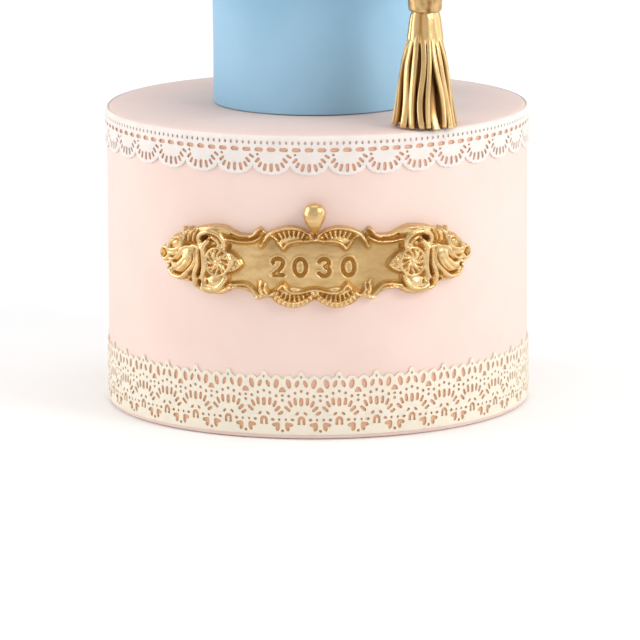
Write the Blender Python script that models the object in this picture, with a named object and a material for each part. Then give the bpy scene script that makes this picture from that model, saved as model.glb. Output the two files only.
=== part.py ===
"""Graduation cake: a round fondant tier with two lace bands and a moulded name plate, and on top of it a
round cap with a square board, a button and a tassel, all of sugar paste.

Metres, +Z up. The origin is the middle of the tier's flat underside, and the front with the plate faces -Y.
"""

import math

import bmesh
import bpy
import numpy as np
from mathutils import Matrix, Vector

MM = 0.001
GAP = 0.3 * MM  # clearance between pieces that rest on each other

# The tier.
TIER_RADIUS = 106 * MM
TIER_HEIGHT = 150.6 * MM
TIER_TOP_EDGE = 3.0 * MM
TIER_BOTTOM_EDGE = 1.5 * MM
TIER_SEGMENTS = 96

# The lace bands lie on the tier's side. Each has the same number of repeats.
LACE_REPEATS = 36
LACE_THICKNESS = 0.7 * MM
TOP_LACE_EDGE = 149.6 * MM
TOP_LACE_NOTCH = 135.5 * MM  # where two scallops meet
TOP_LACE_TIP = 131.2 * MM  # the lowest point of a scallop
TOP_LACE_PHASE = math.radians(-2.3)  # a scallop's middle, from the front
TOP_LACE_STEPS = 7
BOTTOM_LACE_EDGE = 3.2 * MM
BOTTOM_LACE_LOBE = 31.6 * MM
BOTTOM_LACE_NOTCH = 30.3 * MM
BOTTOM_LACE_PEAK = 33.8 * MM
BOTTOM_LACE_PHASE = math.radians(5.4)  # a peak, from the front
BOTTOM_LACE_STEPS = 8

# The plate, bent round the tier. Along it s runs from its middle to an end, and t is the height over its
# middle line; both halves are the same.
PLATE_MIDDLE = (-1.4 * MM, 87 * MM)  # arc length from the front, height
PLATE_TOP = (
    (0, 15.0), (3, 17.5), (7, 19.6), (12, 20.6), (17, 19.8), (21, 18.0), (24, 17.3), (26.5, 18.8),
    (28.8, 17.0), (31.5, 15.2), (36, 15.0), (40, 16.3), (44, 18.5), (50, 19.3), (56, 18.6), (62, 17.3),
    (66.5, 15.8), (70, 12.3), (74, 8.6), (77.5, 6.0), (81, 4.6), (82.6, 3.0),
)
PLATE_BOTTOM = (
    (0, -17.5), (4, -19.8), (10, -20.8), (15.5, -20.2), (20, -18.2), (23, -16.6), (26, -16.8),
    (28.5, -17.0), (31, -14.8), (35, -12.2), (40, -12.0), (44, -14.3), (50, -15.3), (57, -14.6),
    (60, -12.5), (64, -10.3), (70, -9.8), (74.5, -8.3), (77.5, -5.0), (81, -1.2), (82.6, 0.4),
)
PLATE_END = 82.6
PLATE_SHEET = 3.0
PLATE_BEAD_HEIGHT = 3.0
PLATE_BEAD_WIDTH = 3.2
PLATE_COLUMNS = 46  # in one half
PLATE_ROWS = 14
PLATE_ROW_CROWDING = 0.55  # 0 spaces the rows evenly, 1 crowds them most at the rims
# Bosses of the relief in mm: middle s and t, half length along s and t, height over the back.
PLATE_BOSSES = {
    "rosette": (48.9, 0.5, 6.4, 6.4, 7.2),
    "leaf_point": (39.5, 0.5, 6.0, 3.6, 5.0),
    "spine": (57.0, 1.5, 2.4, 10.0, 7.0),
    "petal": (66.5, 0.8, 7.5, 7.8, 7.6),
    "upper_scroll": (50.0, 13.0, 8.0, 4.8, 7.6),
    "lower_scroll": (49.5, -9.8, 7.5, 4.6, 7.4),
    "upper_leaf": (68.5, 10.2, 6.5, 4.2, 6.6),
    "lower_leaf": (63.5, -8.0, 6.5, 3.0, 5.8),
    "end_ring": (79.2, 2.4, 3.2, 3.2, 5.4),
    "upper_shell": (11.0, 14.5, 8.0, 3.6, 5.0),
    "lower_shell": (11.0, -15.0, 8.0, 3.4, 5.0),
}

# The drop on the plate's upper edge: (radius, height over its tip), turned about an upright axis.
DROP_TIP = 105.2 * MM
DROP_PROFILE = ((1.2, 0.0), (2.6, 2.2), (4.2, 5.2), (5.1, 8.4), (4.7, 10.9), (3.0, 12.6))
DROP_HEIGHT = 13.2
DROP_STAND_OFF = 5.6 * MM  # of its axis from the tier's side
DROP_SEGMENTS = 18

# The cap.
CAP_MIDDLE_Y = 8 * MM
CROWN_RADIUS = 52.2 * MM
CROWN_HEIGHT = 74 * MM
CROWN_EDGE = 1.5 * MM
CROWN_SEGMENTS = 72
BOARD_SIDE = 142 * MM
BOARD_THICKNESS = 6 * MM
BOARD_CORNER = 4 * MM
BOARD_EDGE = 1.5 * MM
BUTTON_RADIUS = 8 * MM
BUTTON_HEIGHT = 5 * MM
BUTTON_EDGE = 0.8 * MM
BUTTON_SEGMENTS = 24

# The tassel hangs at the board's corner.
TASSEL_TURN = math.radians(31.6)  # of the corner, from the front towards +X
CORD_RADIUS = 2.2 * MM
CORD_SWAY = 5 * MM  # of its run across the board, out of the straight line
CORD_RUN_POINTS = 14
COLLAR_RADIUS = 8.05 * MM
COLLAR_HEIGHT = 9.7 * MM
COLLAR_BOTTOM = 206.3 * MM
COLLAR_EDGE = 1.2 * MM
# The bundle's outer radius by height over the tier, in mm.
TASSEL_OUTLINE = (
    (0.5, 15.2), (4, 14.6), (12.5, 13.4), (22.5, 12.2), (32, 10.8), (39.5, 8.8), (47, 7.9), (53, 7.2), (55.1, 6.1),
)
TASSEL_CORE_SHARE = 0.62  # of the outer radius, where the strips hang free
TASSEL_SPLIT = 43 * MM  # the strips come apart this high over the tier
TASSEL_FREEING = 8 * MM  # below the split, over which the core draws in
TASSEL_STRIPS = 17
STRIP_WIDTH = 3.0 * MM
STRIP_THICKNESS = 2.1 * MM
STRIP_STATIONS = 7
STRIP_FOOT = (0.5 * MM, 1.6 * MM)  # lowest and highest end over the tier
STRIP_UNEVENNESS = 0.22  # of the spacing round the bundle
STRIP_DRIFT = 0.10  # sideways wave on the way down, in radians
STRIP_TWIST = 0.55  # in radians, at the foot
STRIP_TUCK = 0.9 * MM  # how far a foot may lie behind the others
CORE_FOOT = 1.6 * MM

COLOURS = {  # linear base colour, roughness, metallic
    "pink_paste": ((0.86, 0.68, 0.61), 0.55, 0.0),
    "blue_paste": ((0.30, 0.53, 0.70), 0.55, 0.0),
    "sugar_lace": ((0.88, 0.85, 0.80), 0.60, 0.0),
    "gold": ((0.62, 0.42, 0.16), 0.38, 0.9),
}


def clear_scene():
    for obj in list(bpy.data.objects):
        bpy.data.objects.remove(obj, do_unlink=True)


def material(name):
    if name in bpy.data.materials:
        return bpy.data.materials[name]
    colour, roughness, metallic = COLOURS[name]
    made = bpy.data.materials.new(name)
    made.use_nodes = True
    shader = made.node_tree.nodes["Principled BSDF"]
    shader.inputs["Base Color"].default_value = (*colour, 1)
    shader.inputs["Roughness"].default_value = roughness
    shader.inputs["Metallic"].default_value = metallic
    return made


def add_object(name, bm, finish, smooth_angle=math.radians(35)):
    """Links a finished bmesh as an object with its faces pointing out and its round parts smooth."""
    bmesh.ops.recalc_face_normals(bm, faces=bm.faces)
    mesh = bpy.data.meshes.new(name)
    bm.to_mesh(mesh)
    bm.free()
    mesh.materials.append(material(finish))
    mesh.shade_smooth()
    mesh.set_sharp_from_angle(angle=smooth_angle)
    obj = bpy.data.objects.new(name, mesh)
    bpy.context.scene.collection.objects.link(obj)
    return obj


def arc(middle, radius, start, end, steps):
    """Points of an arc in a plane, from angle start to angle end in degrees."""
    angles = np.radians(np.linspace(start, end, steps + 1))
    return [(middle[0] + radius * math.cos(a), middle[1] + radius * math.sin(a)) for a in angles]


def turned(name, profile, segments, finish, place=(0, 0, 0)):
    """A solid of revolution about an upright axis. The profile is (radius, height) from low to high."""
    bm = bmesh.new()
    points = [(0, profile[0][1]), *profile, (0, profile[-1][1])]
    verts = [bm.verts.new((r, 0, z)) for r, z in points]
    edges = [bm.edges.new(pair) for pair in zip(verts, verts[1:])]
    bmesh.ops.spin(
        bm, geom=verts + edges, axis=(0, 0, 1), cent=(0, 0, 0), steps=segments, angle=math.tau, use_merge=True
    )
    bmesh.ops.remove_doubles(bm, verts=bm.verts, dist=0.01 * MM)
    obj = add_object(name, bm, finish)
    obj.location = place
    return obj


def barrel(radius, low, high, low_edge, high_edge, steps=3):
    """Profile of an upright cylinder with rounded rims."""
    return [
        *arc((radius - low_edge, low + low_edge), low_edge, -90, 0, steps),
        *arc((radius - high_edge, high - high_edge), high_edge, 0, 90, steps),
    ]


def through(points, x):
    """Height at x of a smooth curve through the points, which run along x."""
    xs, ys = np.array(points, float).T
    slopes = np.gradient(ys, xs)
    i = int(np.clip(np.searchsorted(xs, x) - 1, 0, len(xs) - 2))
    step = xs[i + 1] - xs[i]
    u = (x - xs[i]) / step
    return (
        ys[i] * (2 * u**3 - 3 * u**2 + 1)
        + ys[i + 1] * (3 * u**2 - 2 * u**3)
        + slopes[i] * step * (u**3 - 2 * u**2 + u)
        + slopes[i + 1] * step * (u**3 - u**2)
    )


def round_tier(angle, radius, height):
    """A point beside the tier; the angle is taken from the front, towards +X."""
    return Vector((radius * math.sin(angle), -radius * math.cos(angle), height))


def build_tier():
    turned(
        "tier",
        barrel(TIER_RADIUS, 0, TIER_HEIGHT, TIER_BOTTOM_EDGE, TIER_TOP_EDGE),
        TIER_SEGMENTS,
        "pink_paste",
    )


def lace_band(name, low_edge, high_edge, phase, steps):
    """A thin band round the tier. Each edge is a height by place in the repeat, from 0 to 1."""
    bm = bmesh.new()
    inner = TIER_RADIUS + GAP
    outer = inner + LACE_THICKNESS
    columns = []
    for repeat in range(LACE_REPEATS):
        for step in range(steps):
            place = step / steps
            angle = phase + math.tau * (repeat + place) / LACE_REPEATS
            low, high = low_edge(place), high_edge(place)
            corners = ((inner, low), (outer, low), (outer, high), (inner, high))
            columns.append([bm.verts.new(round_tier(angle, r, z)) for r, z in corners])
    for here, there in zip(columns, columns[1:] + columns[:1]):
        for a in range(4):
            b = (a + 1) % 4
            bm.faces.new((here[a], here[b], there[b], there[a]))
    return add_object(name, bm, "sugar_lace")


def build_laces():
    def scallop(place):
        """Half round scallops that meet in notches; place 0 is a scallop's middle."""
        across = min(place, 1 - place) * 2
        return TOP_LACE_NOTCH - (TOP_LACE_NOTCH - TOP_LACE_TIP) * math.sqrt(max(0.0, 1 - across**2.2))

    def crown(place):
        """A tall peak at place 0, a notch at each side of it and a pair of low lobes between."""
        across = min(place, 1 - place) * 2
        if across < 0.4:
            share = math.cos(math.pi / 2 * across / 0.4)
            return BOTTOM_LACE_NOTCH + (BOTTOM_LACE_PEAK - BOTTOM_LACE_NOTCH) * share
        share = math.sin(math.pi * min(1.0, (across - 0.4) / 0.5))
        return BOTTOM_LACE_NOTCH + (BOTTOM_LACE_LOBE - BOTTOM_LACE_NOTCH) * max(share, 0.0)

    lace_band("lace_top", scallop, lambda place: TOP_LACE_EDGE, TOP_LACE_PHASE, TOP_LACE_STEPS)
    lace_band("lace_bottom", lambda place: BOTTOM_LACE_EDGE, crown, BOTTOM_LACE_PHASE, BOTTOM_LACE_STEPS)


def plate_relief(s, t):
    """Height of the plate's face over its back, in mm: a sheet, a raised bead along its rim and bosses."""
    s = abs(s)
    from_rim = min(through(PLATE_TOP, s) - t, t - through(PLATE_BOTTOM, s))
    height = PLATE_SHEET
    if from_rim < PLATE_BEAD_WIDTH:
        across = 2 * from_rim / PLATE_BEAD_WIDTH - 1
        height += PLATE_BEAD_HEIGHT * math.sqrt(max(0.0, 1 - across**2))
    for middle_s, middle_t, half_s, half_t, top in PLATE_BOSSES.values():
        away = ((s - middle_s) / half_s) ** 2 + ((t - middle_t) / half_t) ** 2
        if away < 1:
            height = max(height, PLATE_SHEET + (top - PLATE_SHEET) * math.sqrt(1 - away))
    return height


def build_plate():
    """A relief over a curved back. Its columns run from rim to rim, closest at the rims."""
    bm = bmesh.new()
    back = TIER_RADIUS + GAP

    def vertex(s, t, height):
        angle = (PLATE_MIDDLE[0] + s * MM) / TIER_RADIUS
        return bm.verts.new(round_tier(angle, back + height * MM, PLATE_MIDDLE[1] + t * MM))

    rows = []
    for row in range(PLATE_ROWS + 1):
        even = row / PLATE_ROWS
        crowded = 0.5 - 0.5 * math.cos(math.pi * even)
        rows.append(even + (crowded - even) * PLATE_ROW_CROWDING)
    columns = []
    for column in range(-PLATE_COLUMNS, PLATE_COLUMNS + 1):
        s = PLATE_END * column / PLATE_COLUMNS
        low, high = through(PLATE_BOTTOM, abs(s)), through(PLATE_TOP, abs(s))
        heights = [low + (high - low) * share for share in rows]
        face = [vertex(s, t, plate_relief(s, t)) for t in heights]
        columns.append([vertex(s, low, 0), *face, vertex(s, high, 0)])
    for here, there in zip(columns, columns[1:]):
        count = len(here)
        for a in range(count):
            b = (a + 1) % count
            bm.faces.new((here[a], there[a], there[b], here[b]))
    bm.faces.new(columns[0])
    bm.faces.new(reversed(columns[-1]))
    bmesh.ops.triangulate(bm, faces=bm.faces)
    add_object("plaque", bm, "gold", math.radians(50))


def build_drop():
    """A pear-shaped drop that stands on the plate's upper rim."""
    profile = [(r * MM, z * MM) for r, z in (*DROP_PROFILE, (0.9, DROP_HEIGHT))]
    place = round_tier(PLATE_MIDDLE[0] / TIER_RADIUS, TIER_RADIUS + DROP_STAND_OFF, DROP_TIP)
    turned("plaque_drop", profile, DROP_SEGMENTS, "gold", place)


def build_cap():
    crown_top = TIER_HEIGHT + GAP + CROWN_HEIGHT
    turned(
        "cap_crown",
        barrel(CROWN_RADIUS, 0, CROWN_HEIGHT, CROWN_EDGE, CROWN_EDGE, 2),
        CROWN_SEGMENTS,
        "blue_paste",
        (0, CAP_MIDDLE_Y, TIER_HEIGHT + GAP),
    )
    bm = bmesh.new()
    turn = Matrix.Rotation(TASSEL_TURN - math.pi / 4, 4, "Z")
    place = Matrix.Translation((0, CAP_MIDDLE_Y, crown_top + GAP + BOARD_THICKNESS / 2)) @ turn
    bmesh.ops.create_cube(bm, size=1, matrix=Matrix.Diagonal((BOARD_SIDE, BOARD_SIDE, BOARD_THICKNESS, 1)))
    upright = [e for e in bm.edges if abs(e.verts[0].co.z - e.verts[1].co.z) > BOARD_THICKNESS / 2]
    bmesh.ops.bevel(bm, geom=upright, offset=BOARD_CORNER, segments=4, profile=0.5, affect="EDGES")
    rims = [e for e in bm.edges if abs(e.verts[0].co.z - e.verts[1].co.z) < 0.1 * MM]
    bmesh.ops.bevel(bm, geom=rims, offset=BOARD_EDGE, segments=2, profile=0.5, affect="EDGES")
    board = add_object("cap_board", bm, "blue_paste")
    board.matrix_world = place
    button = [
        (BUTTON_RADIUS * math.cos(a), BUTTON_EDGE + (BUTTON_HEIGHT - BUTTON_EDGE) * math.sin(a))
        for a in np.radians(np.linspace(0, 75, 5))
    ]
    turned(
        "cap_button",
        [(BUTTON_RADIUS, 0), *button],
        BUTTON_SEGMENTS,
        "gold",
        (0, CAP_MIDDLE_Y, crown_top + 2 * GAP + BOARD_THICKNESS),
    )


def board_top():
    return TIER_HEIGHT + 2 * GAP + CROWN_HEIGHT + BOARD_THICKNESS


def corner_reach():
    """From the cap's axis to the tip of the board's rounded corner."""
    return BOARD_SIDE / math.sqrt(2) - BOARD_CORNER * (math.sqrt(2) - 1)


def tassel_axis():
    """Plan position of the hanging cord's middle."""
    reach = corner_reach() + GAP + CORD_RADIUS
    return reach * math.sin(TASSEL_TURN), CAP_MIDDLE_Y - reach * math.cos(TASSEL_TURN)


def build_cord():
    """Up from the collar, over the board's corner and across the board to the button."""
    clear = GAP + CORD_RADIUS
    hang = corner_reach() + clear
    bend = BOARD_EDGE + clear
    bend_middle = (hang - bend, board_top() - BOARD_EDGE)
    start = COLLAR_BOTTOM + COLLAR_HEIGHT + GAP
    side_view = [(hang, start), (hang, (start + bend_middle[1]) / 2)]
    side_view += arc(bend_middle, bend, 0, 90, 5)
    last = BUTTON_RADIUS + 2 * GAP
    first = side_view[-1][0]
    for k in range(1, CORD_RUN_POINTS + 1):
        side_view.append((first + (last - first) * k / CORD_RUN_POINTS, board_top() + clear))
    outward = Vector((math.sin(TASSEL_TURN), -math.cos(TASSEL_TURN), 0))
    sideways = Vector((outward.y, -outward.x, 0))
    points = []
    for reach, height in side_view:
        along = (first - reach) / (first - last)
        sway = CORD_SWAY * math.sin(math.pi * along) ** 2 if along > 0 else 0
        points.append(outward * reach + sideways * sway + Vector((0, CAP_MIDDLE_Y, height)))
    curve = bpy.data.curves.new("tassel_cord", "CURVE")
    curve.dimensions = "3D"
    curve.bevel_depth = CORD_RADIUS
    curve.bevel_resolution = 2
    curve.use_fill_caps = True
    spline = curve.splines.new("POLY")
    spline.points.add(len(points) - 1)
    for point, place in zip(spline.points, points):
        point.co = (*place, 1)
    curve.materials.append(material("gold"))
    bpy.context.scene.collection.objects.link(bpy.data.objects.new("tassel_cord", curve))


def tassel_radius(height):
    """Outer radius of the bundle at a height over the tier's top, both in metres."""
    return through(TASSEL_OUTLINE, height / MM) * MM


def strip_whims(index):
    """Lean and twist from -1 to 1, and tuck and lift from 0 to 1, for one strip; the same at every build."""
    return (
        math.sin(index * 2.4),
        math.sin(index * 1.7 + 0.6),
        max(0.0, math.sin(index * 5.3)),
        abs(math.sin(index * 3.1)),
    )


def strip_body(index):
    """One hanging strip: a flat bar that leaves the head and spreads outwards, each a little different."""
    lean, twist, tuck, lift = strip_whims(index)
    angle = math.tau * (index + STRIP_UNEVENNESS * lean) / TASSEL_STRIPS
    foot = STRIP_FOOT[0] + (STRIP_FOOT[1] - STRIP_FOOT[0]) * lift
    bm = bmesh.new()
    rings = []
    for station in range(STRIP_STATIONS):
        down = station / (STRIP_STATIONS - 1)
        height = TASSEL_SPLIT + (foot - TASSEL_SPLIT) * down
        turn = angle + STRIP_DRIFT * lean * math.sin(math.pi * down)
        reach = tassel_radius(height) - STRIP_THICKNESS / 2 - STRIP_TUCK * tuck * down
        outward = Vector((math.cos(turn), math.sin(turn), 0))
        face_turn = turn + STRIP_TWIST * twist * down
        thick = Vector((math.cos(face_turn), math.sin(face_turn), 0)) * STRIP_THICKNESS / 2
        wide = Vector((-math.sin(face_turn), math.cos(face_turn), 0)) * STRIP_WIDTH / 2
        middle = outward * reach + Vector((0, 0, height))
        ring = [middle + thick + wide, middle + thick - wide, middle - thick - wide, middle - thick + wide]
        rings.append([bm.verts.new(p) for p in ring])
    for above, below in zip(rings, rings[1:]):
        for a in range(4):
            b = (a + 1) % 4
            bm.faces.new((above[a], above[b], below[b], below[a]))
    bm.faces.new(rings[0])
    bm.faces.new(reversed(rings[-1]))
    return add_object(f"strip_{index}", bm, "gold")


def build_tassel():
    """The head and the core of the bundle with the strips fused on, and the collar over them."""
    axis_x, axis_y = tassel_axis()
    core = []
    for height, radius in TASSEL_OUTLINE:
        hanging = min(1.0, max(0.0, (TASSEL_SPLIT - height * MM) / TASSEL_FREEING))
        share = 1 - (1 - TASSEL_CORE_SHARE) * hanging
        core.append((radius * share * MM, max(height * MM, CORE_FOOT)))
    skirt = turned("tassel_skirt", core, 20, "gold")
    strips = bpy.data.collections.new("tassel strips")
    bpy.context.scene.collection.children.link(strips)
    for index in range(TASSEL_STRIPS):
        strip = strip_body(index)
        bpy.context.scene.collection.objects.unlink(strip)
        strips.objects.link(strip)
    union = skirt.modifiers.new("fuse strips", "BOOLEAN")
    union.operation = "UNION"
    union.operand_type = "COLLECTION"
    union.collection = strips
    union.solver = "EXACT"
    graph = bpy.context.evaluated_depsgraph_get()
    fused = bpy.data.meshes.new_from_object(skirt.evaluated_get(graph))
    skirt.modifiers.clear()
    skirt.data = fused
    for strip in list(strips.objects):
        bpy.data.objects.remove(strip, do_unlink=True)
    bpy.data.collections.remove(strips)
    skirt.location = (axis_x, axis_y, TIER_HEIGHT)
    turned(
        "tassel_collar",
        barrel(COLLAR_RADIUS, 0, COLLAR_HEIGHT, COLLAR_EDGE, COLLAR_EDGE, 2),
        24,
        "gold",
        (axis_x, axis_y, COLLAR_BOTTOM),
    )


clear_scene()
build_tier()
build_laces()
build_plate()
build_drop()
build_cap()
build_cord()
build_tassel()
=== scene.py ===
# %% [markdown]
# # A graduation cake in sugar paste
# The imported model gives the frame: a round tier, two bands of lace, a name plate with a drop, and a cap
# with a tassel. Its solids have the true sizes but a plain surface. Each piece below is modelled at the
# place of one of those solids and then stands for it. Lengths are in millimetres times MM, with the tier's
# underside at zero.

# %% Load the frame
import math
import random
from contextlib import contextmanager

import bmesh
import bpy
import numpy as np
from mathutils import Matrix, Vector, noise


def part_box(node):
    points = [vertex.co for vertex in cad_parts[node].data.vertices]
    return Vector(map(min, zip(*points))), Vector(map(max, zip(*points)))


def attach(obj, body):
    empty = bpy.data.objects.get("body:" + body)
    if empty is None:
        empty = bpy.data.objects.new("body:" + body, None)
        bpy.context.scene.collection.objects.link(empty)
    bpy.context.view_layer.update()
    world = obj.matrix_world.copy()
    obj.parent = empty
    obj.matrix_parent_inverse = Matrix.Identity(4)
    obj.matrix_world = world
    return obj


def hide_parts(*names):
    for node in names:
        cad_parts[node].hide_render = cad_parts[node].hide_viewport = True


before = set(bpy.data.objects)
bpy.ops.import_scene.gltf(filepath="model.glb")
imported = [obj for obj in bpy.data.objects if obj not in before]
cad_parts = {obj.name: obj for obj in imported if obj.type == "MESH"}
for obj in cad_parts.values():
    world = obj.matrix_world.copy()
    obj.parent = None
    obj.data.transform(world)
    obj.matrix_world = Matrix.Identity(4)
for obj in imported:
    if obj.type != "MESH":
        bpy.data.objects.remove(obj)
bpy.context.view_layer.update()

MM = 0.001
print("solids:", sorted(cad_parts))


# %% [markdown]
# ## Reading the sizes off the frame
# Every place is worked out from the solids' own boxes, so that the pieces fit without any nudging. The tier
# is round, so half its box is its radius, and the lace and the plate are laid on that radius.


# %% Sizes from the frame
def middle_of(low, high, z=0.0):
    """The middle of a box seen from above, at the height z."""
    return Vector(((low.x + high.x) / 2, (low.y + high.y) / 2, z))


TIER_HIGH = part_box("tier")[1]
TIER_RADIUS = TIER_HIGH.x
TIER_TOP = TIER_HIGH.z
CROWN_LOW, CROWN_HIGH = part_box("cap_crown")
CROWN_RADIUS = (CROWN_HIGH.x - CROWN_LOW.x) / 2
CAP_MIDDLE = middle_of(CROWN_LOW, CROWN_HIGH)
COLLAR_LOW, COLLAR_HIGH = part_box("tassel_collar")
TASSEL_AXIS = middle_of(COLLAR_LOW, COLLAR_HIGH)
print(f"tier {TIER_RADIUS / MM:.1f} mm in radius, {TIER_TOP / MM:.1f} mm high")
print(f"crown {CROWN_RADIUS / MM:.1f} mm in radius, tassel at {tuple(round(v / MM, 1) for v in TASSEL_AXIS)}")


# %% [markdown]
# ## Small helpers
# Operators act on whatever is selected, so every step starts from nothing selected. A finished piece keeps
# its place in its mesh, with the object itself at the origin, and then hides the solid it stands for.


# %% Helpers for modelling
def add_object(name, data):
    """Adds an object to the scene for a mesh, a curve, a light or a camera."""
    made = bpy.data.objects.new(name, data)
    bpy.context.scene.collection.objects.link(made)
    return made


def only(piece):
    """Makes one object the selected and active one."""
    bpy.ops.object.select_all(action="DESELECT")
    piece.select_set(True)
    bpy.context.view_layer.objects.active = piece


@contextmanager
def editing(piece, pick=None, kind="VERT"):
    """Opens a mesh in edit mode with all of it selected, or only what pick(element) chooses."""
    only(piece)
    bpy.ops.object.mode_set(mode="EDIT")
    bpy.ops.mesh.select_mode(type=kind)
    bpy.ops.mesh.select_all(action="DESELECT" if pick else "SELECT")
    if pick:
        mesh = bmesh.from_edit_mesh(piece.data)
        for element in {"VERT": mesh.verts, "EDGE": mesh.edges, "FACE": mesh.faces}[kind]:
            element.select_set(bool(pick(element)))
        mesh.select_flush_mode()
        bmesh.update_edit_mesh(piece.data)
    yield
    bpy.ops.object.mode_set(mode="OBJECT")


def points_of(piece):
    points = np.empty(len(piece.data.vertices) * 3)
    piece.data.vertices.foreach_get("co", points)
    return points.reshape(-1, 3)


def set_points(piece, points):
    piece.data.vertices.foreach_set("co", np.asarray(points, dtype=np.float32).ravel())
    piece.data.update()


def place_in_mesh(piece):
    only(piece)
    bpy.ops.object.transform_apply(location=True, rotation=True, scale=True)


def smooth_shading(piece, degrees):
    only(piece)
    bpy.ops.object.shade_smooth_by_angle(angle=math.radians(degrees))


def finish_piece(piece, name, paste, finish, *nodes):
    """Names a piece, gives it its finish, and lets it stand for its solids."""
    piece.name = name
    piece.data.name = name
    piece.data.materials.clear()
    piece.data.materials.append(finish.material)
    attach(piece, "root")
    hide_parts(*nodes)
    piece.data.calc_loop_triangles()
    print(f"{name}: {len(piece.data.loop_triangles)} triangles")


# %% [markdown]
# ## Shader maths as plain arithmetic
# A shader is a graph of nodes. Written out node by node it is long and hard to read, so one small class
# wraps a node's output and makes Math nodes from Python's own operators. One method adds every other kind
# of node.


# %% Shader helpers
class Link:
    """The output of a shader node. Arithmetic on it adds Math nodes."""

    def __init__(self, finish, socket):
        self.finish, self.socket = finish, socket

    def _math(self, operation, first, second):
        return self.finish.node("ShaderNodeMath", {"operation": operation}, {0: first, 1: second})

    def __add__(self, other):
        return self._math("ADD", self, other)

    def __sub__(self, other):
        return self._math("SUBTRACT", self, other)

    def __rsub__(self, other):
        return self._math("SUBTRACT", other, self)

    def __mul__(self, other):
        return self._math("MULTIPLY", self, other)

    def __truediv__(self, other):
        return self._math("DIVIDE", self, other)

    def __pow__(self, other):
        return self._math("POWER", self, other)

    __radd__ = __add__
    __rmul__ = __mul__


class Finish:
    """A material with one Principled shader."""

    def __init__(self, name, **sockets):
        self.material = bpy.data.materials.new(name)
        self.material.use_nodes = True
        self.tree = self.material.node_tree
        self.shader = self.tree.nodes["Principled BSDF"]
        self.feed(**sockets)

    def node(self, kind, settings=None, sockets=None, output=0):
        """Adds a node: first its settings, then the values or links of its sockets."""
        made = self.tree.nodes.new(kind)
        for name, value in (settings or {}).items():
            setattr(made, name, value)
        for name, value in (sockets or {}).items():
            self.plug(made.inputs[name], value)
        return Link(self, made.outputs[output])

    def plug(self, socket, value):
        if isinstance(value, Link):
            self.tree.links.new(value.socket, socket)
        else:
            socket.default_value = value

    def feed(self, **sockets):
        """Sets or links the shader's sockets, with _ for the spaces in their names."""
        for name, value in sockets.items():
            self.plug(self.shader.inputs[name.replace("_", " ")], value)

    def place(self, scale=(1, 1, 1)):
        """The piece's own coordinates, in metres, stretched by scale."""
        where = self.node("ShaderNodeTexCoord", output="Object")
        return self.node("ShaderNodeMapping", {}, {"Vector": where, "Scale": scale})

    def noise(self, size, detail=2.0, roughness=0.5, scale=(1, 1, 1)):
        """Soft noise from 0 to 1 with blots about size metres across."""
        sockets = {"Vector": self.place(scale), "Scale": 1 / size, "Detail": detail, "Roughness": roughness}
        return self.node("ShaderNodeTexNoise", {}, sockets)

    def attribute(self, name):
        return self.node("ShaderNodeAttribute", {"attribute_name": name}, output="Fac")

    def steps(self, value, low, high, to_low=0.0, to_high=1.0):
        """A smooth step: to_low below low, to_high above high."""
        sockets = {"Value": value, "From Min": low, "From Max": high, "To Min": to_low, "To Max": to_high}
        return self.node("ShaderNodeMapRange", {"interpolation_type": "SMOOTHSTEP"}, sockets)

    def blend(self, share, first, second):
        """From the first colour to the second."""
        sockets = {"Factor": share, 6: rgba(first), 7: rgba(second)}
        return self.node("ShaderNodeMix", {"data_type": "RGBA", "clamp_factor": True}, sockets, 2)

    def bump(self, height, depth, strength, over=None):
        """Raises the surface by height, from 0 to 1, times depth metres. over is a bump below it."""
        sockets = {"Height": height, "Distance": depth, "Strength": strength}
        if over:
            sockets["Normal"] = over
        return self.node("ShaderNodeBump", {}, sockets, "Normal")


def rgba(colour):
    return colour if isinstance(colour, Link) or len(colour) == 4 else (*colour, 1)


# %% [markdown]
# ## Camera and light
# A long lens far in front of the cake keeps its sides upright, and the camera looks down a little on the
# tier's top. Two big soft boxes stand left and right of it, so the middle of each round side is the
# darkest. A small one lights the front from the right, one hangs above, and a pale world stands for the
# white walls of a studio, which gives the gold something to mirror.

# %% Camera
CAMERA_DISTANCE = 2.7254
CAMERA_HEIGHT = 0.5707
CAMERA_PITCH = 0.1927  # radians below the horizon
CAMERA_ROLL = -0.0057
CAMERA_LENS = 307.5  # mm, on a 36 mm sensor
CAMERA_SHIFT = 0.003
camera_data = bpy.data.cameras.new("camera")
camera_data.sensor_width = 36
camera_data.lens = CAMERA_LENS
camera_data.shift_x = CAMERA_SHIFT
camera_data.clip_end = 50
camera = add_object("camera", camera_data)
right = Vector((1, 0, 0))
ahead = Vector((0, math.cos(CAMERA_PITCH), -math.sin(CAMERA_PITCH)))
above = right.cross(ahead)
tilted_right = math.cos(CAMERA_ROLL) * right + math.sin(CAMERA_ROLL) * above
tilted_up = -math.sin(CAMERA_ROLL) * right + math.cos(CAMERA_ROLL) * above
axes = Matrix((tilted_right, tilted_up, -ahead)).transposed().to_4x4()
camera.matrix_world = Matrix.Translation((0, -CAMERA_DISTANCE, CAMERA_HEIGHT)) @ axes
bpy.context.scene.camera = camera
bpy.context.scene.view_settings.view_transform = "Standard"
print(f"camera {CAMERA_DISTANCE} m in front, looking {math.degrees(CAMERA_PITCH):.1f} degrees down")

# %% Lights, world and floor
LIGHT_DISTANCE = 1.6
LOOK_AT = Vector((0, 0, 0.12))


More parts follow.
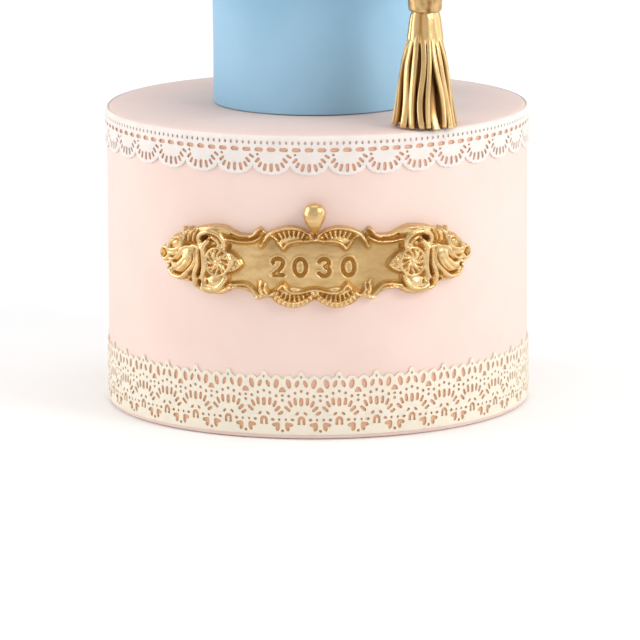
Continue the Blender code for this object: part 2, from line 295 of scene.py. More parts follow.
def soft_box(name, azimuth, elevation, size, power):
    """A soft box that looks at the middle of the cake. Azimuth 0 is the front and 90 the right."""
    light = bpy.data.lights.new(name, "AREA")
    light.shape = "RECTANGLE"
    light.size, light.size_y = size
    light.energy = power
    a, e = math.radians(azimuth), math.radians(elevation)
    out = Vector((math.sin(a) * math.cos(e), -math.cos(a) * math.cos(e), math.sin(e))) * LIGHT_DISTANCE
    facing = (-out).to_track_quat("-Z", "Y").to_matrix().to_4x4()
    add_object(name, light).matrix_world = Matrix.Translation(LOOK_AT + out) @ facing


soft_box("left box", -88, 18, (1.1, 1.4), 12.4)
soft_box("right box", 99, 18, (1.1, 1.4), 7.2)
soft_box("front box", 50, 27, (0.6, 0.8), 7.6)
soft_box("top box", 0, 88, (1.2, 1.2), 6.4)
WORLD_STRENGTH = 0.65
world = bpy.data.worlds.new("studio")
world.use_nodes = True
sky = world.node_tree.nodes["Background"].inputs
sky["Color"].default_value = (1, 1, 1, 1)
sky["Strength"].default_value = WORLD_STRENGTH
bpy.context.scene.world = world

FLOOR_SIZE = 12
FLOOR_DROP = 0.2 * MM  # the floor lies this far under the cake
FLOOR_WHITE = (0.93, 0.93, 0.93, 1)
GLOW_START, GLOW_END = 0.3, 1.1  # away from the cake the floor glows a little, so that it fades into white
GLOW = (0.26, 0.26, 0.26)
bpy.ops.mesh.primitive_plane_add(size=FLOOR_SIZE, location=(0, 0, -FLOOR_DROP))
floor = bpy.context.object
floor.name = "floor"
floor_finish = Finish("floor", Base_Color=FLOOR_WHITE, Roughness=0.9, Emission_Strength=1.0)
from_middle = floor_finish.node(
    "ShaderNodeVectorMath", {"operation": "LENGTH"}, {0: floor_finish.place()}, "Value"
)
far = floor_finish.steps(from_middle, GLOW_START, GLOW_END)
floor_finish.feed(Emission_Color=floor_finish.blend(far, (0, 0, 0), GLOW))
floor.data.materials.append(floor_finish.material)


# %% [markdown]
# ## Finishes
# Rolled sugar paste is matte and soft, never quite one colour, and its surface carries the faint waves of
# the smoother and fine pores of the starch. The gold is a lustre powder in alcohol, brushed on: a fine
# metal flake that mirrors broadly. Its brown in the hollows and under the ridges is painted shade, and so is
# its darker brown in deep places.


# %% Sugar paste
def sugar_paste(name, colour, shade, rough=0.56, gloss=0.35):
    """Matte rolled paste: blots of a slightly deeper shade, faint waves and fine pores."""
    paste = Finish(name, Roughness=rough, Specular_IOR_Level=gloss)
    blots = paste.noise(38 * MM, 3)
    paste.feed(Base_Color=paste.blend(paste.steps(blots, 0.35, 0.7), colour, shade))
    paste.feed(Roughness=paste.noise(6 * MM, 2) * 0.12 + (rough - 0.06))
    waves = paste.bump(paste.noise(24 * MM, 1), 0.25 * MM, 0.6)
    paste.feed(Normal=paste.bump(paste.noise(0.7 * MM, 2), 0.03 * MM, 0.5, waves))
    return paste


pink_paste = sugar_paste("pink paste", (0.848, 0.657, 0.588), (0.832, 0.627, 0.557))
blue_paste = sugar_paste("blue paste", (0.315, 0.535, 0.705), (0.285, 0.51, 0.68), 0.53, 0.45)

# %% Sugar lace
THREAD = 0.55 * MM


def sugar_lace(name, colour):
    """Set lace mix, spread into a mould: matte, with the fine relief of the mould's threads."""
    lace = Finish(name, Roughness=0.62, Specular_IOR_Level=0.3)
    shade = tuple(0.95 * c for c in colour)
    lace.feed(Base_Color=lace.blend(lace.steps(lace.noise(9 * MM, 2), 0.4, 0.7), colour, shade))
    sockets = {"Vector": lace.place(), "Scale": 1 / THREAD}
    threads = lace.node("ShaderNodeTexVoronoi", {"feature": "F1"}, sockets, "Distance")
    lace.feed(Normal=lace.bump(threads, 0.05 * MM, 0.5))
    return lace


white_lace = sugar_lace("white lace", (0.815, 0.75, 0.70))
# The lower band's creamier colour is a painted warm reflection, as of light bounced from a gold board.
lace_with_painted_bounce = sugar_lace("lace with painted bounce", (0.84, 0.765, 0.635))

# %% Lustre gold
# Dark brown of the painted shade, towards which the gold is blended.
PAINTED_SHADE_BROWN = (0.15, 0.068, 0.018)


def lustre_gold(name, colour, hollow_shade_colour, rough, brushed=(1, 1, 1)):
    """Brushed-on gold powder. Two attributes of a piece, from 0 to 1, darken it: hollow turns it brown, as
    painted shade in hollows, under ridges and in deep gaps, with some even dullness and tone; the other blends
    it towards a dark brown, as painted shade."""
    gold = Finish(name, Metallic=0.9)
    streaks = gold.noise(4 * MM, 5, 0.65, brushed)
    # Painted shade: the hollow attribute turns the gold brown and less metallic in hollows, under ridges and
    # in deep gaps.
    hollow = gold.steps(gold.attribute("hollow") + streaks * 0.3, 0.32, 1.0)
    worn = gold.blend(gold.steps(streaks, 0.42, 0.68), colour, tuple(0.78 * c for c in colour))
    with_hollow_shade = gold.blend(hollow, worn, hollow_shade_colour)
    # Painted shade: the second attribute blends the colour towards the dark brown.
    gold.feed(Base_Color=gold.blend(gold.attribute("painted_shade"), with_hollow_shade, PAINTED_SHADE_BROWN))
    gold.feed(Metallic=hollow * -0.35 + 0.92)
    gold.feed(Roughness=streaks * 0.22 + hollow * 0.15 + (rough - 0.11))
    grain = gold.bump(gold.noise(0.9 * MM, 3), 0.07 * MM, 0.55)
    gold.feed(Normal=gold.bump(gold.noise(2.2 * MM, 3, 0.6, brushed), 0.22 * MM, 0.5, grain))
    return gold


plate_gold = lustre_gold("plate gold", (0.755, 0.53, 0.26), (0.53, 0.265, 0.04), 0.27, (0.25, 1, 1))
tassel_gold = lustre_gold("tassel gold", (0.755, 0.518, 0.238), (0.36, 0.15, 0.015), 0.30, (1, 1, 0.18))
print("finishes:", sorted(material.name for material in bpy.data.materials))

# %% [markdown]
# ## The tier
# A real tier is a stack of sponges under a sheet of rolled paste, smoothed by hand, so its side waves by a
# fraction of a millimetre and its top rim is a soft roll. It starts as a cylinder. The rims are beveled,
# the top gets rings by insetting and the side by subdividing its upright edges, and then noise moves the
# points a little.

# %% Round of paste
def primitive(kind, **settings):
    """Adds one of the primitive meshes, with its place written into the mesh."""
    getattr(bpy.ops.mesh, f"primitive_{kind}_add")(**settings)
    place_in_mesh(bpy.context.object)
    return bpy.context.object


def rise(edge):
    """How far an edge climbs."""
    return abs(edge.verts[0].co.z - edge.verts[1].co.z)


def lies_at(element, height):
    """Whether an edge or a face lies level at a height."""
    return all(abs(vert.co.z - height) < 1e-5 for vert in element.verts)


def split_upright(piece, cuts, longer_than):
    """Subdivides the edges that climb further than a length."""
    with editing(piece, lambda e: rise(e) > longer_than, "EDGE"):
        bpy.ops.mesh.subdivide(number_cuts=cuts)


RIM_STEPS = 5
TOP_RINGS = 6
LONG_WAVE = 34 * MM
SHORT_WAVE = 11 * MM


def paste_round(radius, low, high, middle, rims, segments, rows, unevenness):
    """An upright round of rolled paste with soft rims, the lower and the upper, waved by unevenness."""
    place = (middle.x, middle.y, (low + high) / 2)
    piece = primitive("cylinder", vertices=segments, radius=radius, depth=high - low, location=place)
    for height, rim in zip((low, high), rims):
        with editing(piece, lambda e: lies_at(e, height) and e.calc_length() < radius / 4, "EDGE"):
            bpy.ops.mesh.bevel(offset=rim, segments=RIM_STEPS, profile=0.5)
    split_upright(piece, rows, (high - low) / 2)
    for height in (low, high):
        with editing(piece, lambda f: len(f.verts) > 8 and lies_at(f, height), "FACE"):
            for _ in range(TOP_RINGS):
                bpy.ops.mesh.inset(thickness=(radius - rims[0]) / (TOP_RINGS + 1.5))
    points = points_of(piece)
    seed = Vector((radius * 900, 3.1, 0))
    for index, point in enumerate(points):
        out = Vector((point[0] - middle.x, point[1] - middle.y, 0))
        reach = out.length / radius
        wave = noise.noise(Vector(point) / LONG_WAVE + seed)
        wave += 0.4 * noise.noise(Vector(point) / SHORT_WAVE + seed)
        if point[2] > low + 2 * MM:
            points[index, :2] += np.array((out / max(out.length, 1e-6))[:2]) * unevenness * wave * reach**4
            points[index, 2] += unevenness * wave * (point[2] > high - rims[1]) * 0.8
    set_points(piece, points)
    smooth_shading(piece, 35)
    return piece


TIER_RIM = 3 * MM
tier = paste_round(TIER_RADIUS, 0, TIER_TOP, Vector((0, 0, 0)), (1.5 * MM, TIER_RIM), 192, 24, 0.10 * MM)
finish_piece(tier, "paste_tier", "pink_paste", pink_paste, "tier")

# %% [markdown]
# ## The lace
# Edible lace is cast in a flat mould and then laid round the cake, and that is how it is made here. One
# repeat is a flat outline with its openings, as a filled 2D curve. It becomes a mesh, is copied along by an
# array, rolled round the tier, and only then given its thickness, so that the seams between repeats vanish.

# %% Openings of the lace, in mm
LACE_REPEATS = 36
REPEAT = math.tau * TIER_RADIUS / MM / LACE_REPEATS
HALF = REPEAT / 2
LACE_THICKNESS = 0.75 * MM
LACE_GAP = 0.12 * MM
LACE_EDGE = 0.14 * MM


def oval(x, z, width, height, tilt=0.0, points=8):
    """A closed oval; tilt turns its upper end to the right, in degrees."""
    c, s = math.cos(math.radians(tilt)), math.sin(math.radians(tilt))
    out = []
    for k in range(points):
        a = math.tau * k / points
        i, j = width / 2 * math.cos(a), height / 2 * math.sin(a)
        out.append((x + i * c + j * s, z - i * s + j * c))
    return out


def slot(start, end, width):
    """A long opening with round ends, from one place to another."""
    a, b = np.array(start, float), np.array(end, float)
    along = (b - a) / np.linalg.norm(b - a)
    side = np.array((-along[1], along[0]))
    half = width / 2
    out = []
    for middle, turn in ((b - along * half, 0), (a + along * half, math.pi)):
        for k in range(4):
            angle = turn - math.pi / 2 + math.pi * k / 3
            out.append(tuple(middle + half * (math.cos(angle) * along + math.sin(angle) * side)))
    return out


def both(points):
    """A shape and its mirror image about the middle of the repeat."""
    return [points, [(-x, z) for x, z in reversed(points)]]


# %% Curves, modifiers and merging
def curve_mesh(lines, closed, **settings):
    """One mesh from a curve through each line of points in X, Y and Z. settings are the curve's own."""
    curve = bpy.data.curves.new("curve", "CURVE")
    for name, value in settings.items():
        setattr(curve, name, value)
    for line in lines:
        spline = curve.splines.new("POLY")
        spline.points.add(len(line) - 1)
        spline.points.foreach_set("co", np.hstack([line, np.ones((len(line), 1))]).ravel())
        spline.use_cyclic_u = closed
    only(add_object("curve", curve))
    bpy.ops.object.convert(target="MESH")
    return bpy.context.object


def apply_modifier(piece, kind, **settings):
    only(piece)
    modifier = piece.modifiers.new(kind.title(), kind)
    for name, value in settings.items():
        setattr(modifier, name, value)
    bpy.ops.object.modifier_apply(modifier=modifier.name)


def ease_edges(piece, width, segments, sharper_than):
    """Bevels the edges that turn by more than an angle, in degrees."""
    angle = math.radians(sharper_than)
    apply_modifier(piece, "BEVEL", width=width, segments=segments, limit_method="ANGLE", angle_limit=angle)


def merge_points(piece, distance):
    with editing(piece):
        bpy.ops.mesh.remove_doubles(threshold=distance)


# %% Flat repeat, rolled round the tier
def round_tier(radius, angle, height):
    """Points round the tier's axis, with angle 0 at the front."""
    return np.stack([radius * np.sin(angle), -radius * np.cos(angle), height], 1)


def lace_sheet(outline, openings, cuts, levels=()):
    """One repeat as a flat mesh in X and Y, in mm, cut by upright and level lines so that it can be bent."""
    shapes = [[(x, z, 0) for x, z in shape] for shape in (outline, *openings)]
    sheet = curve_mesh(shapes, True, dimensions="2D", fill_mode="FRONT")
    for place, normal in [((x, 0, 0), (1, 0, 0)) for x in cuts] + [((0, y, 0), (0, 1, 0)) for y in levels]:
        with editing(sheet):
            bpy.ops.mesh.bisect(plane_co=place, plane_no=normal)
    return sheet


def roll_lace(sheet, phase, name, finish, node):
    """Copies the flat repeat along, rolls it round the tier and thickens it. phase is in mm of arc."""
    step = {"use_relative_offset": False, "use_constant_offset": True, "use_merge_vertices": True}
    offset = (REPEAT, 0, 0)
    apply_modifier(
        sheet, "ARRAY", count=LACE_REPEATS, constant_offset_displace=offset, merge_threshold=0.01, **step
    )
    flat = points_of(sheet)
    angle = (flat[:, 0] + phase) * MM / TIER_RADIUS
    side = TIER_TOP - TIER_RIM
    lean = np.maximum(flat[:, 1] * MM - side, 0) / TIER_RIM
    radius = TIER_RADIUS - TIER_RIM + (TIER_RIM + LACE_GAP) * np.cos(lean)
    height = np.minimum(flat[:, 1] * MM, side) + (TIER_RIM + LACE_GAP) * np.sin(lean)
    set_points(sheet, round_tier(radius, angle, height))
    merge_points(sheet, 0.02 * MM)
    with editing(sheet):
        bpy.ops.mesh.normals_make_consistent(inside=False)
    face = sheet.data.polygons[0]
    if face.normal.x * face.center.x + face.normal.y * face.center.y < 0:
        with editing(sheet):
            bpy.ops.mesh.flip_normals()
    apply_modifier(sheet, "SOLIDIFY", thickness=LACE_THICKNESS, offset=1.0, use_even_offset=False)
    ease_edges(sheet, LACE_EDGE, 1, 50)
    with editing(sheet):
        bpy.ops.mesh.dissolve_degenerate(threshold=0.004 * MM)
    smooth_shading(sheet, 60)
    finish_piece(sheet, name, "sugar_lace", finish, node)


# %% [markdown]
# ## The upper band
# Its repeats are shells: a row of pin holes under the edge, a row of dashes, and a half moon from which
# slots fan out to a scalloped hem. A repeat is parted from the next one along a line that runs through
# solid lace.

# %% Upper band
TOP_EDGE = 150.0
TOP_NOTCH = 136.5
TOP_TIP = 131.2
TOP_PHASE = -3.9
LOBE = 0.17
LOBE_ANGLE = math.radians(22)
HEM_STEPS = 40
EDGE_STEPS = 6


def top_hem(x):
    """Height of the scalloped hem; x 0 is a scallop's middle. Every ray of openings ends in a small lobe."""
    across = abs((x + HALF) % REPEAT - HALF) / HALF
    lobe = LOBE * math.cos(math.tau * math.asin(across) / LOBE_ANGLE) * (1 - across**4)
    return TOP_NOTCH - (TOP_NOTCH - TOP_TIP) * (1 - across**2) ** 0.5 - lobe


top_seam = [(-1.35, top_hem(-1.35)), (-1.35, 139.0), (-3.08, 142.0), (-3.08, TOP_EDGE)]
hem_places = [-1.35 + REPEAT * k / HEM_STEPS for k in range(1, HEM_STEPS)]
top_outline = [(x, top_hem(x)) for x in hem_places] + [(x + REPEAT, z) for x, z in top_seam]
top_outline += [(-3.08 + REPEAT * (1 - k / EDGE_STEPS), TOP_EDGE) for k in range(1, EDGE_STEPS)]
top_outline += top_seam[::-1]
top_openings = [oval(-1.84 + k * REPEAT / 6, 147.0, 1.3, 1.75) for k in range(6)]
for k in range(3):
    dash = k * REPEAT / 3
    top_openings.append(slot((dash - 2.25, 143.6), (dash + 2.25, 143.6), 2.0))
top_openings.append(slot((0, 132.6), (0, 137.0), 1.85))
for start, end, width in (
    ((3.65, 133.0), (2.6, 136.9), 1.75),
    ((6.4, 134.8), (4.75, 137.6), 1.55),
    ((8.1, 137.2), (5.6, 139.5), 1.5),
):
    top_openings.append(slot(start, end, width))
    top_openings.append(slot((REPEAT - start[0], start[1]), (REPEAT - end[0], end[1]), width))
top_openings.append(slot((10.0, 139.6), (7.4, 141.2), 1.4))
top_openings.append(oval(REPEAT - 6.8, 141.2, 1.4, 1.3))
top_sheet = lace_sheet(top_outline, top_openings, (1.5, 4.6, 9.3, 13.9), (147.6, 148.5, 149.2))
roll_lace(top_sheet, TOP_PHASE, "upper_lace", white_lace, "lace_top")

# %% [markdown]
# ## The lower band
# It is twice as high. From the top down it has peaks with a ring at the tip, leaf-shaped openings, an arch
# of pin holes over a fan of slots, and a row of small arches and pairs of wings above the straight lower
# edge.

# %% Lower band
BOTTOM_EDGE = 2.3
BOTTOM_PHASE = 10.1
crest = (  # one half of the upper outline, from the peak to the valley
    (0.0, 34.0), (0.8, 33.75), (1.3, 33.0), (1.5, 31.9), (2.1, 31.2), (3.0, 30.8), (3.7, 30.2),
    (4.4, 31.0), (5.4, 31.8), (6.4, 31.9), (7.6, 31.5), (8.6, 30.6), (9.25, 29.9),
)
bottom_seam = [
    (3.05, BOTTOM_EDGE), (2.9, 6.0), (2.65, 9.75), (3.35, 12.5), (3.35, 15.6), (4.05, 17.4), (4.45, 19.4),
    (4.35, 22.4), (4.1, 27.6), (3.7, 30.25),
]
bottom_outline = [*bottom_seam, *crest[7:], *[(REPEAT - x, z) for x, z in crest[-2::-1]]]
bottom_outline += [(REPEAT + x, z) for x, z in [*crest[1:6], *bottom_seam[::-1]]]
bottom_outline += [(3.05 + REPEAT * k / EDGE_STEPS, BOTTOM_EDGE) for k in range(EDGE_STEPS - 1, 0, -1)]
wing = (
    (-0.1, 8.3), (1.4, 8.5), (2.1, 7.5), (2.05, 5.6), (1.4, 4.25), (0.2, 4.0), (-0.3, 5.2), (0.0, 6.1),
    (-1.3, 6.3), (-2.1, 7.0), (-1.5, 8.0),
)
arch_outer = [(1.95 * math.cos(a), 9.7 + 1.95 * math.sin(a)) for a in np.linspace(0, math.pi, 9)]
arch_inner = [(0.5 * math.cos(a), 9.5 + 0.5 * math.sin(a)) for a in np.linspace(math.pi, 0, 5)]
arch = [(1.95, 7.3), *arch_outer, (-1.95, 7.3), (-0.5, 7.3), *arch_inner, (0.5, 7.3)]
valley = ((-1.75, 23.5), (1.75, 23.5), (1.6, 24.7), (0.7, 26.0), (-0.7, 26.0), (-1.6, 24.7))
round_peak = [
    oval(0, 31.2, 1.2, 1.4),
    *both(oval(2.05, 27.8, 2.1, 3.9, -20, 10)),
    *both(oval(6.2, 27.8, 2.7, 5.1, 12, 12)),
    [(HALF + x, z) for x, z in valley],
    oval(0, 24.2, 1.6, 1.6),
    *both(oval(3.0, 23.2, 1.55, 1.6)),
    *both(oval(6.15, 21.6, 1.65, 1.65)),
    oval(HALF, 21.9, 1.6, 1.3),
    oval(HALF, 19.5, 1.6, 1.6),
    slot((0, 16.5), (0, 21.0), 2.05),
    *both(slot((2.75, 16.9), (3.2, 21.0), 1.75)),
    *both(slot((4.6, 16.0), (6.2, 19.4), 1.65)),
    *both(slot((5.3, 13.9), (8.2, 16.5), 1.65)),
    slot((6.9, 12.3), (9.7, 14.0), 1.5),
    *both(oval(2.0, 12.95, 1.45, 2.3, -50)),
    arch,
    *both(oval(4.4, 9.8, 2.0, 1.5)),
    *both(oval(7.6, 9.8, 1.35, 1.35)),
    *both([(5.95 + x, z) for x, z in wing]),
    oval(HALF, 4.2, 1.6, 1.6),
]
BOTTOM_PARTING = 3.6  # openings left of it belong to the far side of the repeat
bottom_openings = []
for shape in round_peak:
    middle = sum(x for x, _ in shape) / len(shape)
    shift = REPEAT if middle < BOTTOM_PARTING else 0.0
    bottom_openings.append([(x + shift, z) for x, z in shape])
bottom_sheet = lace_sheet(bottom_outline, bottom_openings, (9.25, 12.2, 16.6, 20.3))
roll_lace(bottom_sheet, BOTTOM_PHASE, "lower_lace", lace_with_painted_bounce, "lace_bottom")

# %% [markdown]
# ## Painted shade in the lace's openings
# Through the openings the paste looks deeper and warmer: painted shade, and towards the foot a painted warm
# reflection of gold. It shows only through the openings. The tier's finish paints it in two bands, the upper
# one with the scallops of the hem, worked out from the piece's own coordinates.

# %% Painted shade in two bands on the tier
# Colours of the painted shade in the openings, the lower one with a painted warm reflection.
OPENING_SHADE = (0.80, 0.46, 0.32)
OPENING_SHADE_LOW = (0.74, 0.43, 0.26)  # painted warm reflection: yellower towards the foot
SHADE_INSET = 0.5 * MM
separate = pink_paste.node("ShaderNodeSeparateXYZ", {}, {0: pink_paste.place()}).socket.node
band_x, band_y, band_z = (Link(pink_paste, output) for output in separate.outputs)
turned = pink_paste.node("ShaderNodeMath", {"operation": "ARCTAN2"}, {0: band_x, 1: band_y * -1.0})
arc = turned * TIER_RADIUS - TOP_PHASE * MM
across = pink_paste.node("ShaderNodeMath", {"operation": "PINGPONG"}, {0: arc, 1: HALF * MM}) / (HALF * MM)
shade_hem = TOP_NOTCH * MM + SHADE_INSET - (1 - across * across) ** 0.5 * ((TOP_NOTCH - TOP_TIP) * MM)
upper_band = pink_paste.steps(band_z - shade_hem, 0, 0.5 * MM)
upper_band = upper_band * pink_paste.steps(band_z, (TOP_EDGE - 4.8) * MM, (TOP_EDGE - 4.4) * MM, 1.0, 0.0)
lower_band = pink_paste.steps(band_z, (BOTTOM_EDGE + 0.3) * MM, (BOTTOM_EDGE + 0.7) * MM)
lower_band = lower_band * pink_paste.steps(band_z, 29.2 * MM, 29.7 * MM, 1.0, 0.0)
plain = Link(pink_paste, pink_paste.shader.inputs["Base Color"].links[0].from_socket)
shaded_paste = pink_paste.blend(pink_paste.steps(band_z, 6 * MM, 28 * MM), OPENING_SHADE_LOW, OPENING_SHADE)
pink_paste.feed(Base_Color=pink_paste.blend(upper_band + lower_band, plain, shaded_paste))

# %% [markdown]
# ## The name plate
# The plate is pressed in a mould, so its whole face is one relief. It is built as the mould maker draws it:
# lines and shapes on one half, each raising a bead or sinking a groove, mirrored to the other half. A fine
# grid takes the heights. Its outermost points are drawn onto the outline, a wall runs from there into the
# tier, and the whole is then bent round the cake.

# %% Outline of the plate, from its middle to an end and back, in mm
PLATE_MIDDLE = (-1.4, 87.0)  # arc length from the front, height
PLATE_OUTLINE = (
    (0, 16.8), (3, 17.3), (6, 18.5), (11, 19.5), (16, 19.1), (20, 17.7), (23, 16.2), (24.4, 16.6),
    (26.3, 18.7), (28.2, 17.6), (29.8, 15.5), (33, 15), (37.2, 15.3), (40.8, 16.8), (45, 18.5),
    (50.5, 18.6), (56, 17.7), (60.3, 16.3), (62.3, 15.2), (63.7, 16.5), (64.9, 14.9), (66.6, 14.7),
    (67.9, 16), (68.5, 13.4), (69.6, 11.9), (71.4, 12.2), (72.2, 10.3), (73.9, 10), (74.5, 8.3),
    (75.6, 7.9), (76.7, 6.9), (78.4, 6.2), (80.1, 4.4), (80.6, 1.8), (79.8, -0.9), (78, -2.4),
    (76.9, -3.5), (76.7, -5.8), (74.6, -8.6), (71.2, -10.6), (65.5, -10.8), (61.6, -11.3), (60.6, -13.3),
    (57.5, -14.7), (54, -15.8), (50, -15.9), (46, -15.6), (42.3, -14.2), (41, -12.9), (36.3, -12.5),
    (31.6, -13.9), (29, -16.4), (27.4, -17.4), (24.5, -16.6), (21.9, -16.1), (19.5, -18.5),
    (15.4, -20.4), (10, -21.1), (5.1, -19.9), (2, -18), (0, -17.2),
)
PLATE_SHEET = 2.2
PLATE_BACK = -1.4  # the back lies inside the tier
RIM_SHARE = 0.5  # the wall's height as a share of the face's
PLATE_SHOULDER = 1.0  # the face rises from the wall over this distance
END_SHOULDER = 1.3
END_SHEET = 3.7  # the ends stand higher than the field
END_START, END_RISE = 41.5, 2.5
END_SWELL = 1.38  # and their ridges are fuller
print(f"half of the plate's outline has {len(PLATE_OUTLINE)} points")


# %% Drawing tools of the relief
def clamp(value, high=1.0):
    """A number, or each number of an array, held between 0 and high."""
    return np.clip(value, 0, high)


def bell(value, middle, width):
    """1 at the middle, and falling off softly on both sides of it."""
    return np.exp(-(((value - middle) / width) ** 2))


def smooth_line(points, per_span=6):
    """A smooth curve through the points."""
    p = np.array(points, float)
    p = np.vstack([2 * p[0] - p[1], p, 2 * p[-1] - p[-2]])
    out = []
    for a, b, c, d in zip(p, p[1:], p[2:], p[3:]):
        for u in np.arange(per_span) / per_span:
            curve = 2 * b + (c - a) * u + (2 * a - 5 * b + 4 * c - d) * u**2 + (3 * b - a - 3 * c + d) * u**3
            out.append(0.5 * curve)
    out.append(p[-2])
    return np.array(out)


def drawn(points, per_span):
    """The line through the points: smooth, or straight if there are only two."""
    return smooth_line(points, per_span) if len(points) > 2 else np.array(points, float)


def run_along(line):
    """The distance along a line to each of its points."""
    steps = np.linalg.norm(line[1:] - line[:-1], axis=1)
    return np.concatenate([[0], np.cumsum(steps)])


def near(s, t, line):
    """Distance of each place from the line, and how far along it the nearest point is, from 0 to 1."""
    best, along = np.full(s.shape, 1e9), np.zeros(s.shape)
    run = run_along(line)
    run /= run[-1]
    for i, (a, b) in enumerate(zip(line[:-1], line[1:])):
        d = b - a
        k = clamp(((s - a[0]) * d[0] + (t - a[1]) * d[1]) / (d @ d + 1e-12))
        away = np.hypot(s - a[0] - k * d[0], t - a[1] - k * d[1])
        closer = away < best
        best[closer] = away[closer]
        along[closer] = (run[i] + (run[i + 1] - run[i]) * k)[closer]
    return best, along


class Relief:
    """Heights over a flat sheet, in mm, at the places s along it and t up it."""

    def __init__(self, s, t, sheet):
        self.s, self.t, self.sheet, self.swell = s, t, sheet, 1.0
        self.height = np.full(s.shape, sheet)

    def _line(self, points, reach, per_span):
        line = drawn(points, per_span)
        low, high = line.min(0) - reach, line.max(0) + reach
        here = (self.s > low[0]) & (self.s < high[0]) & (self.t > low[1]) & (self.t < high[1])
        return here, *near(self.s[here], self.t[here], line)

    def bead(self, points, radius, top, foot=None, per_span=6):
        """Raises a round ridge along a line. radius and top may change from its start to its end."""
        foot = self.sheet if foot is None else foot
        radius, top = self.swell * np.atleast_1d(radius).astype(float), np.atleast_1d(top).astype(float)
        here, away, along = self._line(points, radius.max(), per_span)
        r = np.interp(along, np.linspace(0, 1, len(radius)), radius)
        h = np.interp(along, np.linspace(0, 1, len(top)), top)
        ridge = foot + (h - foot) * np.sqrt(clamp(1 - (away / r) ** 2))
        self.height[here] = np.where(away < r, np.maximum(self.height[here], ridge), self.height[here])

    def groove(self, points, radius, depth, per_span=6):
        """Sinks a round furrow along a line."""
        here, away, _ = self._line(points, radius, per_span)
        self.height[here] -= depth * clamp(1 - (away / radius) ** 2) ** 0.7

    def _share(self, middle, radii, turn):
        c, n = math.cos(math.radians(turn)), math.sin(math.radians(turn))
        x, y = self.s - middle[0], self.t - middle[1]
        return clamp(1 - ((x * c + y * n) / radii[0]) ** 2 - ((y * c - x * n) / radii[1]) ** 2)

    def mound(self, middle, radii, turn, top, foot=None):
        """Raises half of an egg, with its length turned by so many degrees."""
        foot = self.sheet if foot is None else foot
        share = self._share(middle, radii, turn)
        egg = foot + (top - foot) * np.sqrt(share)
        self.height = np.where(share > 0, np.maximum(self.height, egg), self.height)

    def hollow(self, middle, radii, turn, depth):
        """Presses an egg into the face."""
        self.height -= depth * self._share(middle, radii, turn) ** 0.6


def ring(middle, radii, start=0, end=360, steps=16):
    """Points of an oval or of an arc of it, in degrees."""
    a = np.radians(np.linspace(start, end, steps + 1))
    return list(zip(middle[0] + radii[0] * np.cos(a), middle[1] + radii[1] * np.sin(a)))


def spokes(middle, start, step, count, inner, outer):
    """Short lines that fan out round a middle. inner and outer are each (radius along s, radius along t)."""
    for k in range(count):
        a = math.radians(start + step * k)
        yield [(middle[0] + r[0] * math.cos(a), middle[1] + r[1] * math.sin(a)) for r in (inner, outer)]


# %% Shells at the middle of the plate
def draw_shells(face):
    face.mound((11, 14.8), (9.8, 4.8), -4, 3.9)
    arch = [(1.6, 14.8), (3.8, 17.2), (7.5, 18.9), (12, 19.2), (16.7, 18.3), (20.8, 16.1), (24, 12.8)]
    face.bead([*arch, (26.2, 8.6)], (1.1, 1.6, 1.75, 1.4, 0.6), (5.6, 6.6, 6.5, 5.8, 3.6))
    face.groove([(4.4, 18.1), (8, 19.9), (12.4, 20.1), (17, 19.2)], 0.5, 0.9)
    face.hollow((0, 15.7), (1.5, 2.1), 0, 1.7)
    face.mound((0, 12.9), (1.25, 1.25), 0, 5.8)
    lip = [(-0.5, 13.5), (1.8, 12.9), (4.3, 12.3), (6.7, 12.5), (10.8, 11.9), (13.2, 10.5), (14.8, 8.4)]
    face.bead(lip, 0.95, 5.2)
    face.bead([(14.8, 8.4), (16.6, 10.9), (18.6, 13), (21, 15.4)], 0.9, 5)
    for line in spokes((10.6, 4.6), 120, -10.6, 8, (11, 10.3), (13.4, 12.3)):
        face.groove(line, 0.62, 2.6)
    face.bead([(20.6, 15.9), (23.6, 12.4), (25.4, 8.9)], (0.5, 0.95, 0.5), (4.6, 6.4, 4))
    face.bead([(25.6, 18.6), (27.4, 17.3), (29.2, 15), (31.4, 13.6)], (1.4, 1.6, 1), (6.2, 6.6, 5))
    face.mound((10.5, -15.4), (10.2, 4.4), 4, 3.9)
    face.bead([(-0.5, -11.8), (3, -12.3), (6, -13.2), (10.5, -13.4), (13.4, -11.8), (15.2, -9.4)], 0.95, 5.2)
    face.bead([(15.2, -9.4), (17.2, -11.6), (19.4, -13.8), (21.8, -14.8)], 0.9, 5)
    for line in spokes((10.4, -6), -120, 10.8, 8, (10.8, 9.3), (12.9, 11.5)):
        face.groove(line, 0.62, 2.6)
    for line in spokes((10.2, -7.2), -146, 11.2, 11, (11, 11.3), (12.1, 12.7)):
        face.bead(line, 1.25, 5.4)
    face.bead([(26.6, -8.2), (26.3, -11.6), (25, -14.6), (22.4, -15.4)], (0.5, 1.15, 1.15), (3.4, 5.8, 5.6))
    face.bead([(24.1, -9.3), (24.1, -12.2), (22.6, -14.6)], (0.4, 0.95, 0.9), (3, 5, 4.8))
    face.bead([(28.2, -16.4), (25.2, -15.8)], 1, 5)


# %% Mouldings between the middle and the ends
def draw_mouldings(face):
    face.bead([(29, 15.6), (32.5, 14.7), (36.5, 14.8), (41, 16.8)], 1.6, 5.4)
    face.bead([(26.5, 13.4), (29, 11.9), (32, 11.2), (37, 11.1), (42.5, 11.9)], 0.9, 4.6)
    face.groove([(26.8, 14.3), (30, 12.9), (33, 12.5), (38, 12.6), (42, 13.3)], 0.75, 1.3)
    face.bead([(42.5, -11), (36, -10), (32, -10.8), (28.5, -14.2), (26.5, -15.6)], 0.9, 4.6)
    face.bead([(42, -12.9), (36.5, -11.9), (32.6, -12.6), (29.2, -15.9), (27.2, -16.8)], 1.05, 5.1)


# %% Leaf and rosette of an end
ROSETTE = (47.1, 0.55)
PETALS = 13


